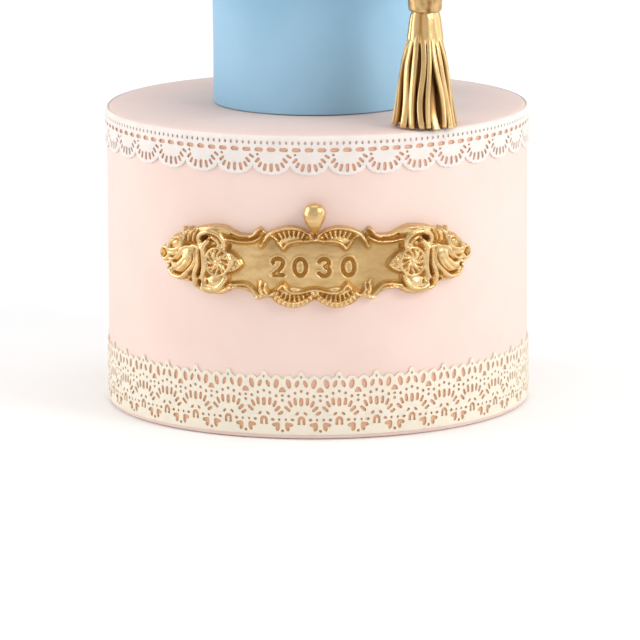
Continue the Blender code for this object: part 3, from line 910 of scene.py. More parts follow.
def draw_rosette(face):
    face.mound((41, 0.3), (6, 4), 6, 4.3, 2.2)
    for side in ([(37.8, 2.3), (40.4, 4.6), (43.2, 6)], [(38.8, -3), (42.8, -4.3)]):
        face.bead([(35.6, -0.6), *side], (0.4, 0.55, 0.6), 4.8, foot=3)
    for berry, size in (((37.5, -0.1), 1.3), ((39.3, 2.1), 1.3), ((39.4, -1.7), 1.3), ((40, 0.3), 1.1)):
        face.mound(berry, (size, size), 0, 5.5, 3.4)
    face.hollow((42.6, 8), (1.7, 1.2), -40, 1.6)
    face.mound(ROSETTE, (7.1, 7.8), 0, 4.9, 3.4)
    face.bead(ring(ROSETTE, (6.2, 6.9)), 0.8, 6.3, per_span=3)
    for k in range(PETALS):
        a = math.tau * (k + 0.15 * math.sin(2.1 * k)) / PETALS
        petal = []
        for reach, turn in ((0.2, 0), (0.52, 0.14), (0.84, 0.42)):
            tip = (5.6 * reach * math.cos(a + turn), 6.2 * reach * math.sin(a + turn))
            petal.append((ROSETTE[0] + tip[0], ROSETTE[1] + tip[1]))
        face.bead(petal, (0.3, 0.46, 0.62), (6, 6.8, 6.3 + 0.4 * math.sin(3 * k)), foot=4.3, per_span=3)
    face.mound(ROSETTE, (1.2, 1.3), 0, 6.6)


# %% Scrolls above and below the rosette
def draw_scrolls(face):
    roll = [(39.2, 16.6), (42, 17.6), (45.5, 18.3), (52.2, 18), (56, 16.5)]
    face.bead(roll, (1.1, 1.75, 1.7, 1.2), (5.6, 7.2, 6.9, 6))
    face.bead([(41.2, 14.9), (44.6, 15.9), (49.5, 16.4)], (0.6, 0.85, 0.5), (5.4, 6.2, 5.6))
    curl = [(43.9, 8.4), (44.4, 11.4), (46, 13.7), (48.8, 15), (52.2, 15.2), (55.2, 14), (56.8, 11.8)]
    curl += [(56.5, 9.9), (55.2, 9), (53.8, 9.3)]
    face.bead(curl, (1.1, 1.35, 1.4, 1.3, 1), (5.8, 7.2, 7.4, 6.9, 6))
    inner = [(46.2, 9.2), (47.1, 11.4), (49.8, 12.7), (51.8, 12.3)]
    face.bead(inner, (1.2, 1.3, 1.2, 0.7), (5.6, 6.9, 6.6, 4.8))
    face.groove([(45.3, 10), (46.5, 12.5), (49.4, 13.9), (52.4, 13.8)], 0.45, 1.5)
    face.hollow((54.1, 11.6), (1.6, 1.3), -32, 3.4)
    face.hollow((50.4, 11), (1, 0.7), 0, 2.2)
    face.mound((49, -9.6), (6, 3.5), -4, 6.4)
    face.bead([(45.2, -8.2), (48.4, -9.6), (52.2, -9)], (0.5, 0.8, 0.5), (5.8, 6.9, 6))
    face.groove([(43, -9.9), (45.2, -12.6), (48.2, -15.2)], 0.7, 2.8)
    curl = [(43.4, -6.2), (44, -9), (47, -12.4), (51.2, -13.2), (54.4, -12.2), (56, -9.4), (54.6, -7.2)]
    face.bead(curl, (0.9, 1.2, 1.4, 1.2, 0.9), (5.4, 6.6, 7, 6.4, 5.4))
    roll = [(42.4, -12.8), (46, -14.9), (51, -15.2), (55.2, -14.4), (58.6, -13)]
    face.bead(roll, (1.2, 1.1, 1), (5.8, 5.6, 5.2))
    face.hollow((52.6, -9.8), (1, 1.2), 0, 2.2)


# %% Twin ribbons between the rosette and the tip
def draw_ribbons(face):
    ribbon = [(52.2, 10.4), (54, 8.2), (54.8, 4.4), (54.5, 0), (54.4, -3.2), (55, -6.4), (57, -9)]
    face.bead(ribbon, (1.2, 1.35, 1.15, 1.15, 1.2, 1), (6.6, 7.6, 7, 6.8, 6.8, 5.8))
    face.bead([(53.8, 8), (56.4, 7.2), (59.6, 7.6), (62.4, 6.6)], (1, 1.2, 1.1, 0.9), (6.8, 7.2, 7, 6.2))
    ribbon = [(57.6, 6.6), (57, 2.6), (57.5, -1.5), (58.9, -4.6), (60, -8.2), (59.6, -12.4)]
    face.bead(ribbon, (0.9, 1.1, 1.1, 1.15, 1.15, 0.9), (6.6, 6.9, 6.9, 6.9, 6.4, 5.4))
    face.groove([(55.9, 5.4), (55.8, 1), (56, -3.4), (57.6, -7.2)], 0.55, 3)
    face.hollow((56.9, -10.4), (1.3, 1.7), 12, 3.4)
    face.hollow((62.2, -9.6), (1.7, 1.2), -20, 3.2)
    face.bead([(60.2, -11.9), (63.8, -11.1), (67.2, -11.2)], 0.9, 5)


# %% Leaves, cup and rings at the tip of an end
def draw_tip(face):
    face.bead([(57.4, 17.2), (59.7, 14.6), (60.6, 10.4)], (0.8, 1.25, 0.8), (5, 6.8, 5.6))
    face.bead([(60, 16.8), (62.3, 14.2), (63.4, 10)], (0.8, 1.25, 0.8), (5, 6.8, 5.4))
    face.bead([(63, 15.6), (65, 13.4), (65.9, 10.4)], (0.8, 1.15, 0.8), (5, 6.4, 5.2))
    face.groove([(58.6, 16), (60.6, 12.8), (61.6, 9.6)], 0.4, 2.2)
    face.groove([(61.4, 16), (63.3, 13), (64.4, 9.8)], 0.4, 2.2)
    face.mound((65.7, 15.3), (1.3, 1.4), 0, 5.6)
    loop = [(66.6, 8.6), (67.2, 10.8), (70.2, 11), (73.2, 8.6), (74.8, 6), (73.8, 4.4), (71, 4.6)]
    face.bead([*loop, (68, 6.2), loop[0]], 1.05, 6.6, per_span=4)
    face.mound((70.6, 7.8), (3.4, 1.9), -36, 5.7)
    face.bead(ring((77.4, 2.3), (2.3, 3), -140, 160, 12), 0.95, 6.2, per_span=3)
    face.hollow((77.4, 2.5), (1.1, 1.5), 0, 0.8)
    face.bead([(69, 3.4), (71.8, 2.6), (74.4, 2.2), (76, -0.4)], (0.8, 1.1, 0.9), (5.8, 6.4, 5.6))
    cup = [(62.6, 2.6), (65.2, -1), (69.4, -3.6), (73.2, -4.2)]
    face.bead(cup, (3.9, 3.9, 3.2, 1.8), (6.8, 6.9, 6.4, 5.2))
    face.groove([(61.6, 1.4), (63.4, -2.4), (66.6, -5.4)], 0.45, 1)
    face.groove([(65.8, 3.2), (67.8, 0.2), (70.4, -2)], 0.4, 0.7)
    face.groove([(63.8, 0.6), (66.4, -2.6), (69.8, -4.8), (72.4, -5.6)], 0.35, 0.5)
    rim = [(60.2, 6.2), (63.2, 7), (66.6, 5.2), (69, 2), (71.8, -0.1), (75.2, -0.4)]
    face.bead(rim, (0.75, 0.8, 0.8), (6.6, 6.8, 5.6))
    rim = [(60, 4.6), (59, 1.4), (60.2, -1.8), (62.6, -4.6), (64.9, -7.2), (67.9, -8.8), (72, -8.2)]
    rim += [(75.4, -6), (77.2, -5.6)]
    face.bead(rim, (0.7, 1.05, 1.35, 1.3, 0.9), (5.8, 7, 7.6, 7, 5.2))
    face.groove([(60.4, 3.8), (60.2, 1.2), (61.6, -2), (64.6, -5.2), (67.6, -7), (71.6, -6.6)], 0.45, 2)
    face.groove([(66.4, 1.6), (70.2, -0.9), (74.6, -1.6)], 0.5, 1.8)
    face.bead([(73.4, -1.4), (75.6, -2.6), (77.8, -2.2)], 0.8, 5.6)
    face.hollow((74.8, -4), (1.5, 0.9), -24, 2.8)
    face.bead([(63.4, -8.8), (67, -10.7), (71.8, -10.6), (74.6, -8.4)], 0.9, 5)
    face.groove([(61, -5.6), (63.4, -8.2), (67.2, -10), (71.6, -9.6)], 0.4, 1.8)


# %% Stamped digits
DIGITS = "2030"
DIGIT_MIDDLES = (-17.7, -7.0, 4.4, 16.2)
DIGIT_LINE = -0.9
DIGIT_WIDTH = 5.6
DIGIT_HEIGHT = 8.4
DIGIT_STROKES = {  # in a box from -1 to 1
    "0": [ring((0, 0), (1, 1), steps=20)],
    "2": [
        [
            (-0.9, 0.45), (-0.72, 0.82), (0, 1), (0.72, 0.8), (0.86, 0.42), (0.5, -0.12), (-0.2, -0.6),
            (-0.9, -0.98),
        ],
        [(-0.9, -0.95), (0.95, -0.95)],
    ],
    "3": [
        [(-0.85, 0.62), (-0.4, 0.95), (0.25, 0.98), (0.78, 0.7), (0.74, 0.3), (0.15, 0.06)],
        [(0.15, 0.06), (0.8, -0.2), (0.92, -0.6), (0.5, -0.95), (-0.25, -1), (-0.9, -0.68)],
    ],
}
WELL_RADIUS, WELL_DEPTH = 0.88, 1.5
LIP_RADIUS, LIP_WIDTH, LIP_HEIGHT = 1.3, 0.4, 0.42
STAMP_REACH = 3  # the stamp flattens the face this far round a stroke


def stamp_digits(face):
    """Presses each digit into the face and leaves the lip that the stamp pushes up round it."""
    for digit, middle in zip(DIGITS, DIGIT_MIDDLES):
        here = (abs(face.s - middle) < DIGIT_WIDTH) & (abs(face.t - DIGIT_LINE) < DIGIT_HEIGHT)
        away = np.full(here.sum(), 1e9)
        for stroke in DIGIT_STROKES[digit]:
            line = [(middle + x * DIGIT_WIDTH / 2, DIGIT_LINE + z * DIGIT_HEIGHT / 2) for x, z in stroke]
            away = np.minimum(away, near(face.s[here], face.t[here], drawn(line, 4))[0])
        lip = LIP_HEIGHT * bell(away, LIP_RADIUS, LIP_WIDTH)
        well = WELL_DEPTH * clamp(1 - (away / WELL_RADIUS) ** 2) ** 0.6
        face.height[here] = np.where(away < STAMP_REACH, face.sheet + lip - well, face.height[here])


# %% Heights of the plate
def inside_outline(s, t):
    """How far inside the outline each place is, in mm, negative outside, and the outline's nearest place."""
    line = smooth_line(PLATE_OUTLINE, 4)
    away, along = near(s, t, line)
    loop = np.vstack([line, [-5, line[-1][1]], [-5, line[0][1]], line[0]])
    inside = np.zeros(s.shape, bool)
    for (x1, y1), (x2, y2) in zip(loop[:-1], loop[1:]):
        if y1 != y2:
            crossed = (t >= min(y1, y2)) & (t < max(y1, y2))
            inside ^= crossed & (s < x1 + (t - y1) * (x2 - x1) / (y2 - y1))
    run = run_along(line)
    nearest = [np.interp(along, run / run[-1], line[:, axis]) for axis in (0, 1)]
    return np.where(inside, away, -away), *nearest


def plate_height(s, t, inside):
    """Height of the plate's face over the tier, in mm."""
    half = Relief(np.abs(s), t, PLATE_SHEET)
    draw_mouldings(half)
    draw_shells(half)
    share = clamp((half.s - END_START) / END_RISE)
    end_sheet = PLATE_SHEET + (END_SHEET - PLATE_SHEET) * share * share * (3 - 2 * share)
    half.height = np.maximum(half.height, end_sheet)
    half.sheet, half.swell = END_SHEET, END_SWELL
    for draw in (draw_rosette, draw_scrolls, draw_tip, draw_ribbons):
        draw(half)
    face = Relief(s, t, PLATE_SHEET)
    face.height = half.height
    stamp_digits(face)
    shoulder = PLATE_SHOULDER + (END_SHOULDER - PLATE_SHOULDER) * share
    climb = clamp(inside / shoulder)
    return face.height * (RIM_SHARE + (1 - RIM_SHARE) * np.sqrt(1 - (1 - climb) ** 2))


def soften(height, rounds):
    """Rounds off the steps that the grid leaves, as a mould's worn edges are."""
    for _ in range(rounds):
        for axis in (0, 1):
            height = 0.5 * height + 0.25 * (np.roll(height, 1, axis) + np.roll(height, -1, axis))
    return height


# %% Plate as a grid with heights
GRID_STEP = 0.28
SNAP = 0.06  # places this close to the outline, and all outside it, are drawn onto it
GRID_HALF_LENGTH = 84.0
GRID_HALF_HEIGHT = 22.4
columns = round(2 * GRID_HALF_LENGTH / GRID_STEP)
rows = round(2 * GRID_HALF_HEIGHT / GRID_STEP)
plate = primitive("grid", x_subdivisions=columns, y_subdivisions=rows, size=2)
flat = points_of(plate)
s, t = flat[:, 0] * GRID_HALF_LENGTH, flat[:, 1] * GRID_HALF_HEIGHT
inside, rim_s, rim_t = inside_outline(np.abs(s), t)
outer = inside < SNAP
s = np.where(outer, rim_s * np.sign(s), s)
t = np.where(outer, rim_t, t)
height = plate_height(s, t, np.where(outer, 0, inside)).reshape(rows + 1, columns + 1)
set_points(plate, np.stack([s, t, soften(height, 2).ravel()], 1))
kept = ~outer.reshape(rows + 1, columns + 1)
for axis in (0, 1):
    kept = kept | np.roll(kept, 1, axis) | np.roll(kept, -1, axis)
kept = kept.ravel()
with editing(plate, lambda v: not kept[v.index]):
    bpy.ops.mesh.delete(type="VERT")
merge_points(plate, 0.02)
print(f"plate's face: {len(plate.data.vertices)} points")

# %% Wall and back of the plate
BACK_STRIP = 4.0  # the back is cut into strips this wide, so that it can be bent
BACK_START = 0.1  # beside the grid's own lines
with editing(plate):
    bpy.ops.mesh.region_to_loop()
    bpy.ops.mesh.extrude_edges_move(TRANSFORM_OT_translate={"value": (0, 0, 0)})
    mesh = bmesh.from_edit_mesh(plate.data)
    for vert in mesh.verts:
        if vert.select:
            vert.co.z = PLATE_BACK
    bmesh.update_edit_mesh(plate.data)
    bpy.ops.mesh.edge_face_add()
    for k in range(-20, 21):
        bpy.ops.mesh.bisect(plane_co=(BACK_STRIP * k + BACK_START, 0, 0), plane_no=(1, 0, 0))
        mesh = bmesh.from_edit_mesh(plate.data)
        for face in mesh.faces:
            face.select_set(face.calc_center_median().z < PLATE_BACK + 0.05)
        bmesh.update_edit_mesh(plate.data)
    bpy.ops.mesh.select_all(action="SELECT")
    bpy.ops.mesh.normals_make_consistent(inside=False)


# %% Shares noted on a piece's points
def read_shares(piece, name):
    """The values of an attribute, one for each point."""
    values = np.empty(len(piece.data.vertices), np.float32)
    piece.data.attributes[name].data.foreach_get("value", values)
    return values


def write_shares(piece, name, values):
    """Writes an attribute, one value for each point, and adds it where it is new."""
    attribute = piece.data.attributes.get(name) or piece.data.attributes.new(name, "FLOAT", "POINT")
    attribute.data.foreach_set("value", np.asarray(values, dtype=np.float32))


# %% Bend the plate and note its hollows
def bend_round_tier(piece, middle):
    """Lays a flat piece, in mm, round the tier's front: X along, Y up, Z out."""
    flat = points_of(piece)
    angle = (flat[:, 0] + middle[0]) * MM / TIER_RADIUS
    set_points(piece, round_tier(TIER_RADIUS + flat[:, 2] * MM, angle, (flat[:, 1] + middle[1]) * MM))


def hollows(piece, full_depth, rounds, under=0.0):
    """How far each point lies below the average of the points around it, as a share of full_depth, up to 1.

    The hollow share is painted shade in recesses, and under adds a share of painted shade for faces that look
    down.
    """
    mesh = piece.data
    points = points_of(piece)
    edges = np.empty(len(mesh.edges) * 2, int)
    mesh.edges.foreach_get("vertices", edges)
    a, b = edges.reshape(-1, 2).T
    normals = np.empty(len(points) * 3)
    mesh.vertices.foreach_get("normal", normals)
    normals = normals.reshape(-1, 3)
    count = np.bincount(a, minlength=len(points)) + np.bincount(b, minlength=len(points))
    soft = points.copy()
    for _ in range(rounds):
        total = np.zeros_like(soft)
        for axis in range(3):
            for one, other in ((a, b), (b, a)):
                total[:, axis] += np.bincount(one, soft[other, axis], len(points))
        soft = total / np.maximum(count, 1)[:, None]
    depth = ((soft - points) * normals).sum(1) / full_depth
    return clamp(clamp(depth) + under * clamp(-normals[:, 2] - 0.15))


# The field's gold is dulled evenly and darkened a little all over; painted shade darkens it further towards
# the right, under the shells and in the digits' wells.
FIELD_DULL = 0.36
FIELD_SHADE_RIGHT = 0.06  # painted shade: more of it towards the right
UNDER_SHADE = 0.55
FIELD_DARKENING = 0.09
SHADE_UNDER_SHELLS = 0.34  # painted shadow that the shells cast on the field below them
DARK_SHADE_RIGHT = 0.26
WELL_SHADE = 0.15
along, up, out = points_of(plate).T
field = bell(out, PLATE_SHEET, 0.25) * (abs(along) < END_START)
stamped = (abs(along) < 22) & (abs(up - DIGIT_LINE) < DIGIT_HEIGHT * 0.65)
wells = stamped * clamp((PLATE_SHEET - 0.3 - out) / 0.5)
under_shells = clamp((up - 3.5) / 5) * clamp((27 - abs(along)) / 6)
rightward = clamp((along - 18) / 8)
bend_round_tier(plate, PLATE_MIDDLE)
# Painted shade: faces that look down, the hollows, and the field towards the right turn brown.
dull_and_shade = field * (FIELD_DULL + FIELD_SHADE_RIGHT * clamp(along / 30))
write_shares(plate, "hollow", clamp(hollows(plate, 0.44 * MM, 9, UNDER_SHADE) + dull_and_shade))
# Painted shade under the shells, towards the right and in the wells, over the even darkening of the field.
field_shade = FIELD_DARKENING + SHADE_UNDER_SHELLS * under_shells + DARK_SHADE_RIGHT * rightward
write_shares(plate, "painted_shade", field * field_shade + WELL_SHADE * wells)
smooth_shading(plate, 60)
finish_piece(plate, "name_plate", "gold_paste", plate_gold, "plaque")

# %% [markdown]
# ## The drop
# A pear of paste rolled between the fingers, with its point tucked into the notch of the plate's upper
# edge. A sphere is stretched to a point below, and fine noise keeps it from looking turned on a lathe.

# %% Drop
DROP_LOW, DROP_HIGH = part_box("plaque_drop")
DROP_DULL = 0.35
DROP_TIP = 1.4 * MM  # how far the tip is tucked into the plate's notch
DROP_FULLER = 1.08
DROP_FLATTER = 0.9
TIP_SHADE = 2.5 * MM  # painted shadow on the drop over this length above the notch
DROP_PROFILE = (  # height from the middle, width, each as a share of half the drop's
    (-1.0, 0.10), (-0.88, 0.26), (-0.75, 0.43), (-0.55, 0.62), (-0.37, 0.76), (-0.15, 0.88), (0.07, 0.97),
    (0.25, 1.0), (0.50, 0.96), (0.71, 0.84), (0.87, 0.64), (0.955, 0.36), (1.0, 0.0),
)
drop_foot = DROP_LOW.z - DROP_TIP
drop_half_height = (DROP_HIGH.z - drop_foot) / 2
drop_half_width = (DROP_HIGH.x - DROP_LOW.x) / 2 * DROP_FULLER
drop_middle = middle_of(DROP_LOW, DROP_HIGH, drop_foot + drop_half_height)
drop = primitive("uv_sphere", segments=48, ring_count=40, radius=1)
points = points_of(drop)
heights, widths = zip(*DROP_PROFILE)
for index, (x, y, z) in enumerate(points):
    ring_size = max(math.hypot(x, y), 1e-6)
    wave = 1 + 0.05 * noise.noise(Vector((x, y, z * 1.5)) * 1.6 + Vector((0, 0, 3)))
    width = np.interp(z, heights, widths) * wave * min(1.0, ring_size * 20) / ring_size
    points[index] = (x * width, y * width * DROP_FLATTER, z)
points = points * np.array((drop_half_width, drop_half_width, drop_half_height)) + np.array(drop_middle)
set_points(drop, points)
# Painted shadow at the tip, where it meets the plate, and painted shade in the drop's hollows, over an even
# dullness.
tip_shade = clamp(1 + (DROP_LOW.z - points[:, 2]) / TIP_SHADE)
write_shares(drop, "hollow", hollows(drop, 3 * MM, 1) + DROP_DULL + tip_shade)
smooth_shading(drop, 60)
finish_piece(drop, "plate_drop", "gold_paste", plate_gold, "plaque_drop")

# %% [markdown]
# ## The cap
# The crown is a small round covered like the tier. The board is a square of stiff dried paste: a cube
# beveled at its corners and rims, subdivided, and let down a little towards its corners, as such a board
# dries.

# %% Crown
CROWN_RIMS = (0.7 * MM, 1.5 * MM)
crown = paste_round(CROWN_RADIUS, CROWN_LOW.z, CROWN_HIGH.z, CAP_MIDDLE, CROWN_RIMS, 128, 16, 0.16 * MM)
finish_piece(crown, "cap_crown_paste", "blue_paste", blue_paste, "cap_crown")

# %% Board
BOARD_LOW, BOARD_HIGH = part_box("cap_board")
BOARD_SIDE = 142 * MM
BOARD_CORNER = 4 * MM
BOARD_EDGE = 1.8 * MM
CORNER_SETTLE = 0.27 * MM
BOARD_WAVE = 0.35 * MM
outward = (TASSEL_AXIS - CAP_MIDDLE).normalized()
corner_turn = math.atan2(outward.x, -outward.y)
board = primitive("cube", size=1)
board.scale = (BOARD_SIDE, BOARD_SIDE, BOARD_HIGH.z - BOARD_LOW.z)
place_in_mesh(board)
with editing(board, lambda e: rise(e) > 1 * MM, "EDGE"):
    bpy.ops.mesh.bevel(offset=BOARD_CORNER, segments=6)
with editing(board, lambda e: rise(e) < 0.1 * MM, "EDGE"):
    bpy.ops.mesh.bevel(offset=BOARD_EDGE, segments=4)
for normal in (Vector((1, 0, 0)), Vector((0, 1, 0))):
    for k in range(-5, 6):
        with editing(board):
            bpy.ops.mesh.bisect(plane_co=normal * (k * BOARD_SIDE / 11.5), plane_no=normal)
points = points_of(board)
for index, point in enumerate(points):
    reach = math.hypot(point[0], point[1]) / (BOARD_SIDE / math.sqrt(2))
    wave = noise.noise(Vector(point) / (45 * MM)) * BOARD_WAVE
    points[index, 2] += wave * reach - CORNER_SETTLE * reach**3
set_points(board, points)
board_middle = CAP_MIDDLE + Vector((0, 0, (BOARD_LOW.z + BOARD_HIGH.z) / 2))
board.matrix_world = Matrix.Translation(board_middle) @ Matrix.Rotation(corner_turn - math.pi / 4, 4, "Z")
place_in_mesh(board)
smooth_shading(board, 35)
finish_piece(board, "cap_board_paste", "blue_paste", blue_paste, "cap_board")

# %% Button
BUTTON_LOW, BUTTON_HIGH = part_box("cap_button")
button_radius = (BUTTON_HIGH.x - BUTTON_LOW.x) / 2
button = primitive("uv_sphere", segments=48, ring_count=24, radius=1)
with editing(button, lambda v: v.co.z < -0.05):
    bpy.ops.mesh.delete(type="VERT")
with editing(button):
    bpy.ops.mesh.region_to_loop()
    bpy.ops.mesh.edge_face_add()
points = points_of(button)
low = points[:, 2].min()
pleats = np.abs(np.sin(6 * np.arctan2(points[:, 1], points[:, 0]))) * np.hypot(points[:, 0], points[:, 1])
points[:, 2] = ((points[:, 2] - low) / (1 - low)) ** 0.8 * (1 - 0.05 * pleats)
points *= np.array((button_radius, button_radius, BUTTON_HIGH.z - BUTTON_LOW.z))
points += np.array((CAP_MIDDLE.x, CAP_MIDDLE.y, BUTTON_LOW.z))
set_points(button, points)
# Painted shade in the creases between the button's pleats.
write_shares(button, "hollow", hollows(button, 1 * MM, 3))
smooth_shading(button, 40)
finish_piece(button, "cap_button_gold", "gold_paste", tassel_gold, "cap_button")

# %% [markdown]
# ## The tassel
# The cord is a rope of three twisted strands. A band of paste covers its end and the top of the tassel. The
# tassel itself is a strip of paste cut into a fringe and rolled up, so its head is smooth and its strips
# have square edges and cut ends. One strip is modelled as a bar, then copied, bent to its own place and
# given soft edges.

# %% Cord
CORD_LOW, CORD_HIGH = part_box("tassel_cord")
CORD_RADIUS = 2.2 * MM
CORD_SWAY = 5 * MM
ROPE_STRANDS = 3
ROPE_PITCH = 9 * MM
STRAND_RADIUS = 0.53 * CORD_RADIUS
BEND_STEPS, RUN_STEPS = 5, 14
sideways = Vector((outward.y, -outward.x, 0))
hang_reach = (TASSEL_AXIS - CAP_MIDDLE).length
cord_bend = BOARD_EDGE + CORD_RADIUS
cord_top = CORD_HIGH.z - CORD_RADIUS
route = [(hang_reach, z) for z in (CORD_LOW.z - 2 * MM, CORD_LOW.z + 2 * MM, cord_top - cord_bend - 1 * MM)]
for k in range(BEND_STEPS + 1):
    a = math.pi / 2 * k / BEND_STEPS
    route.append((hang_reach - cord_bend * (1 - math.cos(a)), cord_top - cord_bend * (1 - math.sin(a))))
run_start, run_end = route[-1][0], button_radius + 0.6 * MM
route += [(run_start + (run_end - run_start) * k / RUN_STEPS, cord_top) for k in range(1, RUN_STEPS + 1)]
spine = []
for reach, z in route:
    share = clamp((run_start - reach) / (run_start - run_end))
    sway = sideways * CORD_SWAY * math.sin(math.pi * share) ** 2
    spine.append(CAP_MIDDLE + outward * reach + sway + Vector((0, 0, z)))
spine = smooth_line([tuple(p) for p in spine], 8)
tangents = np.gradient(spine, axis=0)
tangents /= np.linalg.norm(tangents, axis=1)[:, None]
first_side = np.cross(tangents, np.array(sideways)[None])
first_side /= np.linalg.norm(first_side, axis=1)[:, None]
second_side = np.cross(tangents, first_side)
strands = []
for strand in range(ROPE_STRANDS):
    turn = math.tau * (run_along(spine) / ROPE_PITCH + strand / ROPE_STRANDS)[:, None]
    strands.append(spine + 0.5 * CORD_RADIUS * (np.cos(turn) * first_side + np.sin(turn) * second_side))
tube = {"bevel_depth": STRAND_RADIUS, "bevel_resolution": 2, "use_fill_caps": True}
cord = curve_mesh(strands, False, dimensions="3D", **tube)
merge_points(cord, 0.01 * MM)
smooth_shading(cord, 60)
# Painted shade in the grooves between the rope's strands.
write_shares(cord, "hollow", hollows(cord, 1 * MM, 2))
finish_piece(cord, "tassel_rope", "gold_paste", tassel_gold, "tassel_cord")


# %% Collar
def round_tassel(points):
    """The angle of each point round the tassel, 0 at the front, and its distance from the tassel's axis."""
    x, y = points[:, 0] - TASSEL_AXIS.x, TASSEL_AXIS.y - points[:, 1]
    return np.arctan2(x, y), np.hypot(x, y)


COLLAR_LIFT = 1.1 * MM  # its lower rim rides up on the tassel's head
COLLAR_RIM = 1.3 * MM
COLLAR_ROWS = 8
COLLAR_DULL_AND_SHADE = (0.22, 0.3, 0.4)  # even dullness, more in patches, and painted shade at one spot of its front
# The second darkening is likewise even, in patches, and painted shade at that spot.
COLLAR_DARKENING = (0.30, 0.25, 0.2)
collar_height = COLLAR_HIGH.z - COLLAR_LOW.z
place = TASSEL_AXIS + Vector((0, 0, (COLLAR_LOW.z + COLLAR_HIGH.z) / 2))
radius = (COLLAR_HIGH.x - COLLAR_LOW.x) / 2
collar = primitive("cylinder", vertices=64, radius=radius, depth=collar_height, location=place)
with editing(collar, lambda e: rise(e) < 1e-6, "EDGE"):
    bpy.ops.mesh.bevel(offset=COLLAR_RIM, segments=4)
split_upright(collar, COLLAR_ROWS, 5 * MM)
points = points_of(collar)
for index, (point, angle) in enumerate(zip(points, round_tassel(points)[0])):
    c, n = math.cos(angle), math.sin(angle)
    up = (point[2] - COLLAR_LOW.z) / collar_height
    dent = noise.noise(Vector((c, n, up * 0.8)) * 1.7 + Vector((4, 0, 0)))
    seam = bell(angle, 0.55, 0.10)
    scale = 1.03 + 0.055 * dent - 0.035 * seam - 0.03 * math.cos(math.pi * up)
    out = Vector((point[0] - TASSEL_AXIS.x, point[1] - TASSEL_AXIS.y, 0))
    points[index, :2] = np.array((TASSEL_AXIS + out * scale)[:2])
    points[index, 2] += 0.45 * MM * noise.noise(Vector((c, n, 2.0)) * 1.3) * (up < 0.5)
    points[index, 2] += COLLAR_LIFT * (1 - up)
set_points(collar, points)
angles = round_tassel(points)[0]
places = zip(3 * np.cos(angles), 3 * np.sin(angles), points[:, 2] / MM * 0.35)
patches = [noise.noise(Vector(place)) for place in places]
marks = np.stack([np.ones(len(points)), patches, bell(angles, 0.22, 0.16)])
# Painted shade in the collar's hollows, added to the dullness.
write_shares(collar, "hollow", np.minimum(hollows(collar, 0.4 * MM, 6) + np.dot(COLLAR_DULL_AND_SHADE, marks), 1))
write_shares(collar, "painted_shade", clamp(np.dot(COLLAR_DARKENING, marks)))
smooth_shading(collar, 50)
finish_piece(collar, "tassel_collar_band", "gold_paste", tassel_gold, "tassel_collar")

# %% Head of the tassel
SKIRT_PROFILE = (  # height, radius
    (150.6, 16.4), (153.1, 16.0), (163, 14.7), (172.9, 13.4), (182.8, 11.8), (190.2, 9.9), (194, 8.9),
    (197.6, 8.4), (202, 7.9), (204.8, 7.5), (206.6, 7.0), (208.8, 6.0),
)
HEAD_RINGS = 44
HEAD_SEGMENTS = 112
HEAD_LOW, HEAD_HIGH = 184.0, 208.6
HEAD_CREASES = (  # angle, width, depth
    (-0.30, 0.26, 0.75), (0.95, 0.10, 0.4), (-1.1, 0.10, 0.4), (2.4, 0.2, 0.6),
)
TUCK_HEIGHT, TUCK_RUN, TUCK = 194.0, 5.0, 3.2  # below this height the head draws in behind the strips


def skirt_radius(z):
    """The tassel's radius at a height, both in mm."""
    return np.interp(z, *zip(*SKIRT_PROFILE))


head = primitive("cylinder", vertices=HEAD_SEGMENTS, radius=1, depth=1)
split_upright(head, HEAD_RINGS, 0.5)
points = points_of(head)
for index, (x, y, z) in enumerate(points):
    angle = math.atan2(x, -y)
    c, n = math.cos(angle), math.sin(angle)
    tall = HEAD_LOW + (HEAD_HIGH - HEAD_LOW) * (z + 0.5)
    fold = noise.noise(Vector((c * 2.4, n * 2.4, tall * 0.05 + 1.5)))
    crease = sum(depth * bell(angle, place, width) for place, width, depth in HEAD_CREASES)
    tuck = TUCK * clamp((TUCK_HEIGHT + 1.5 * fold - tall) / TUCK_RUN) ** 1.5
    radius = (skirt_radius(tall) + 0.40 * fold - crease * min(1.0, (HEAD_HIGH - tall) / 3.0) - tuck) * MM
    points[index] = (TASSEL_AXIS.x + radius * n, TASSEL_AXIS.y - radius * c, tall * MM)
set_points(head, points)

# %% One strip of the tassel
STRIP_WIDTH = 2.7 * MM
STRIP_THICKNESS = 1.7 * MM
STRIP_CROWN = 0.25 * MM
STRIP_ROWS = 15
STRIP_FOOT = 150.8
SIDE_SHADE = 0.7  # painted shade on the half of each strip that faces the tassel's axis
random.seed(24)
pattern = primitive("cube", size=1)
split_upright(pattern, STRIP_ROWS, 0.5)
with editing(pattern, lambda e: abs(e.verts[0].co.x - e.verts[1].co.x) > 0.5, "EDGE"):
    bpy.ops.mesh.subdivide(number_cuts=3)


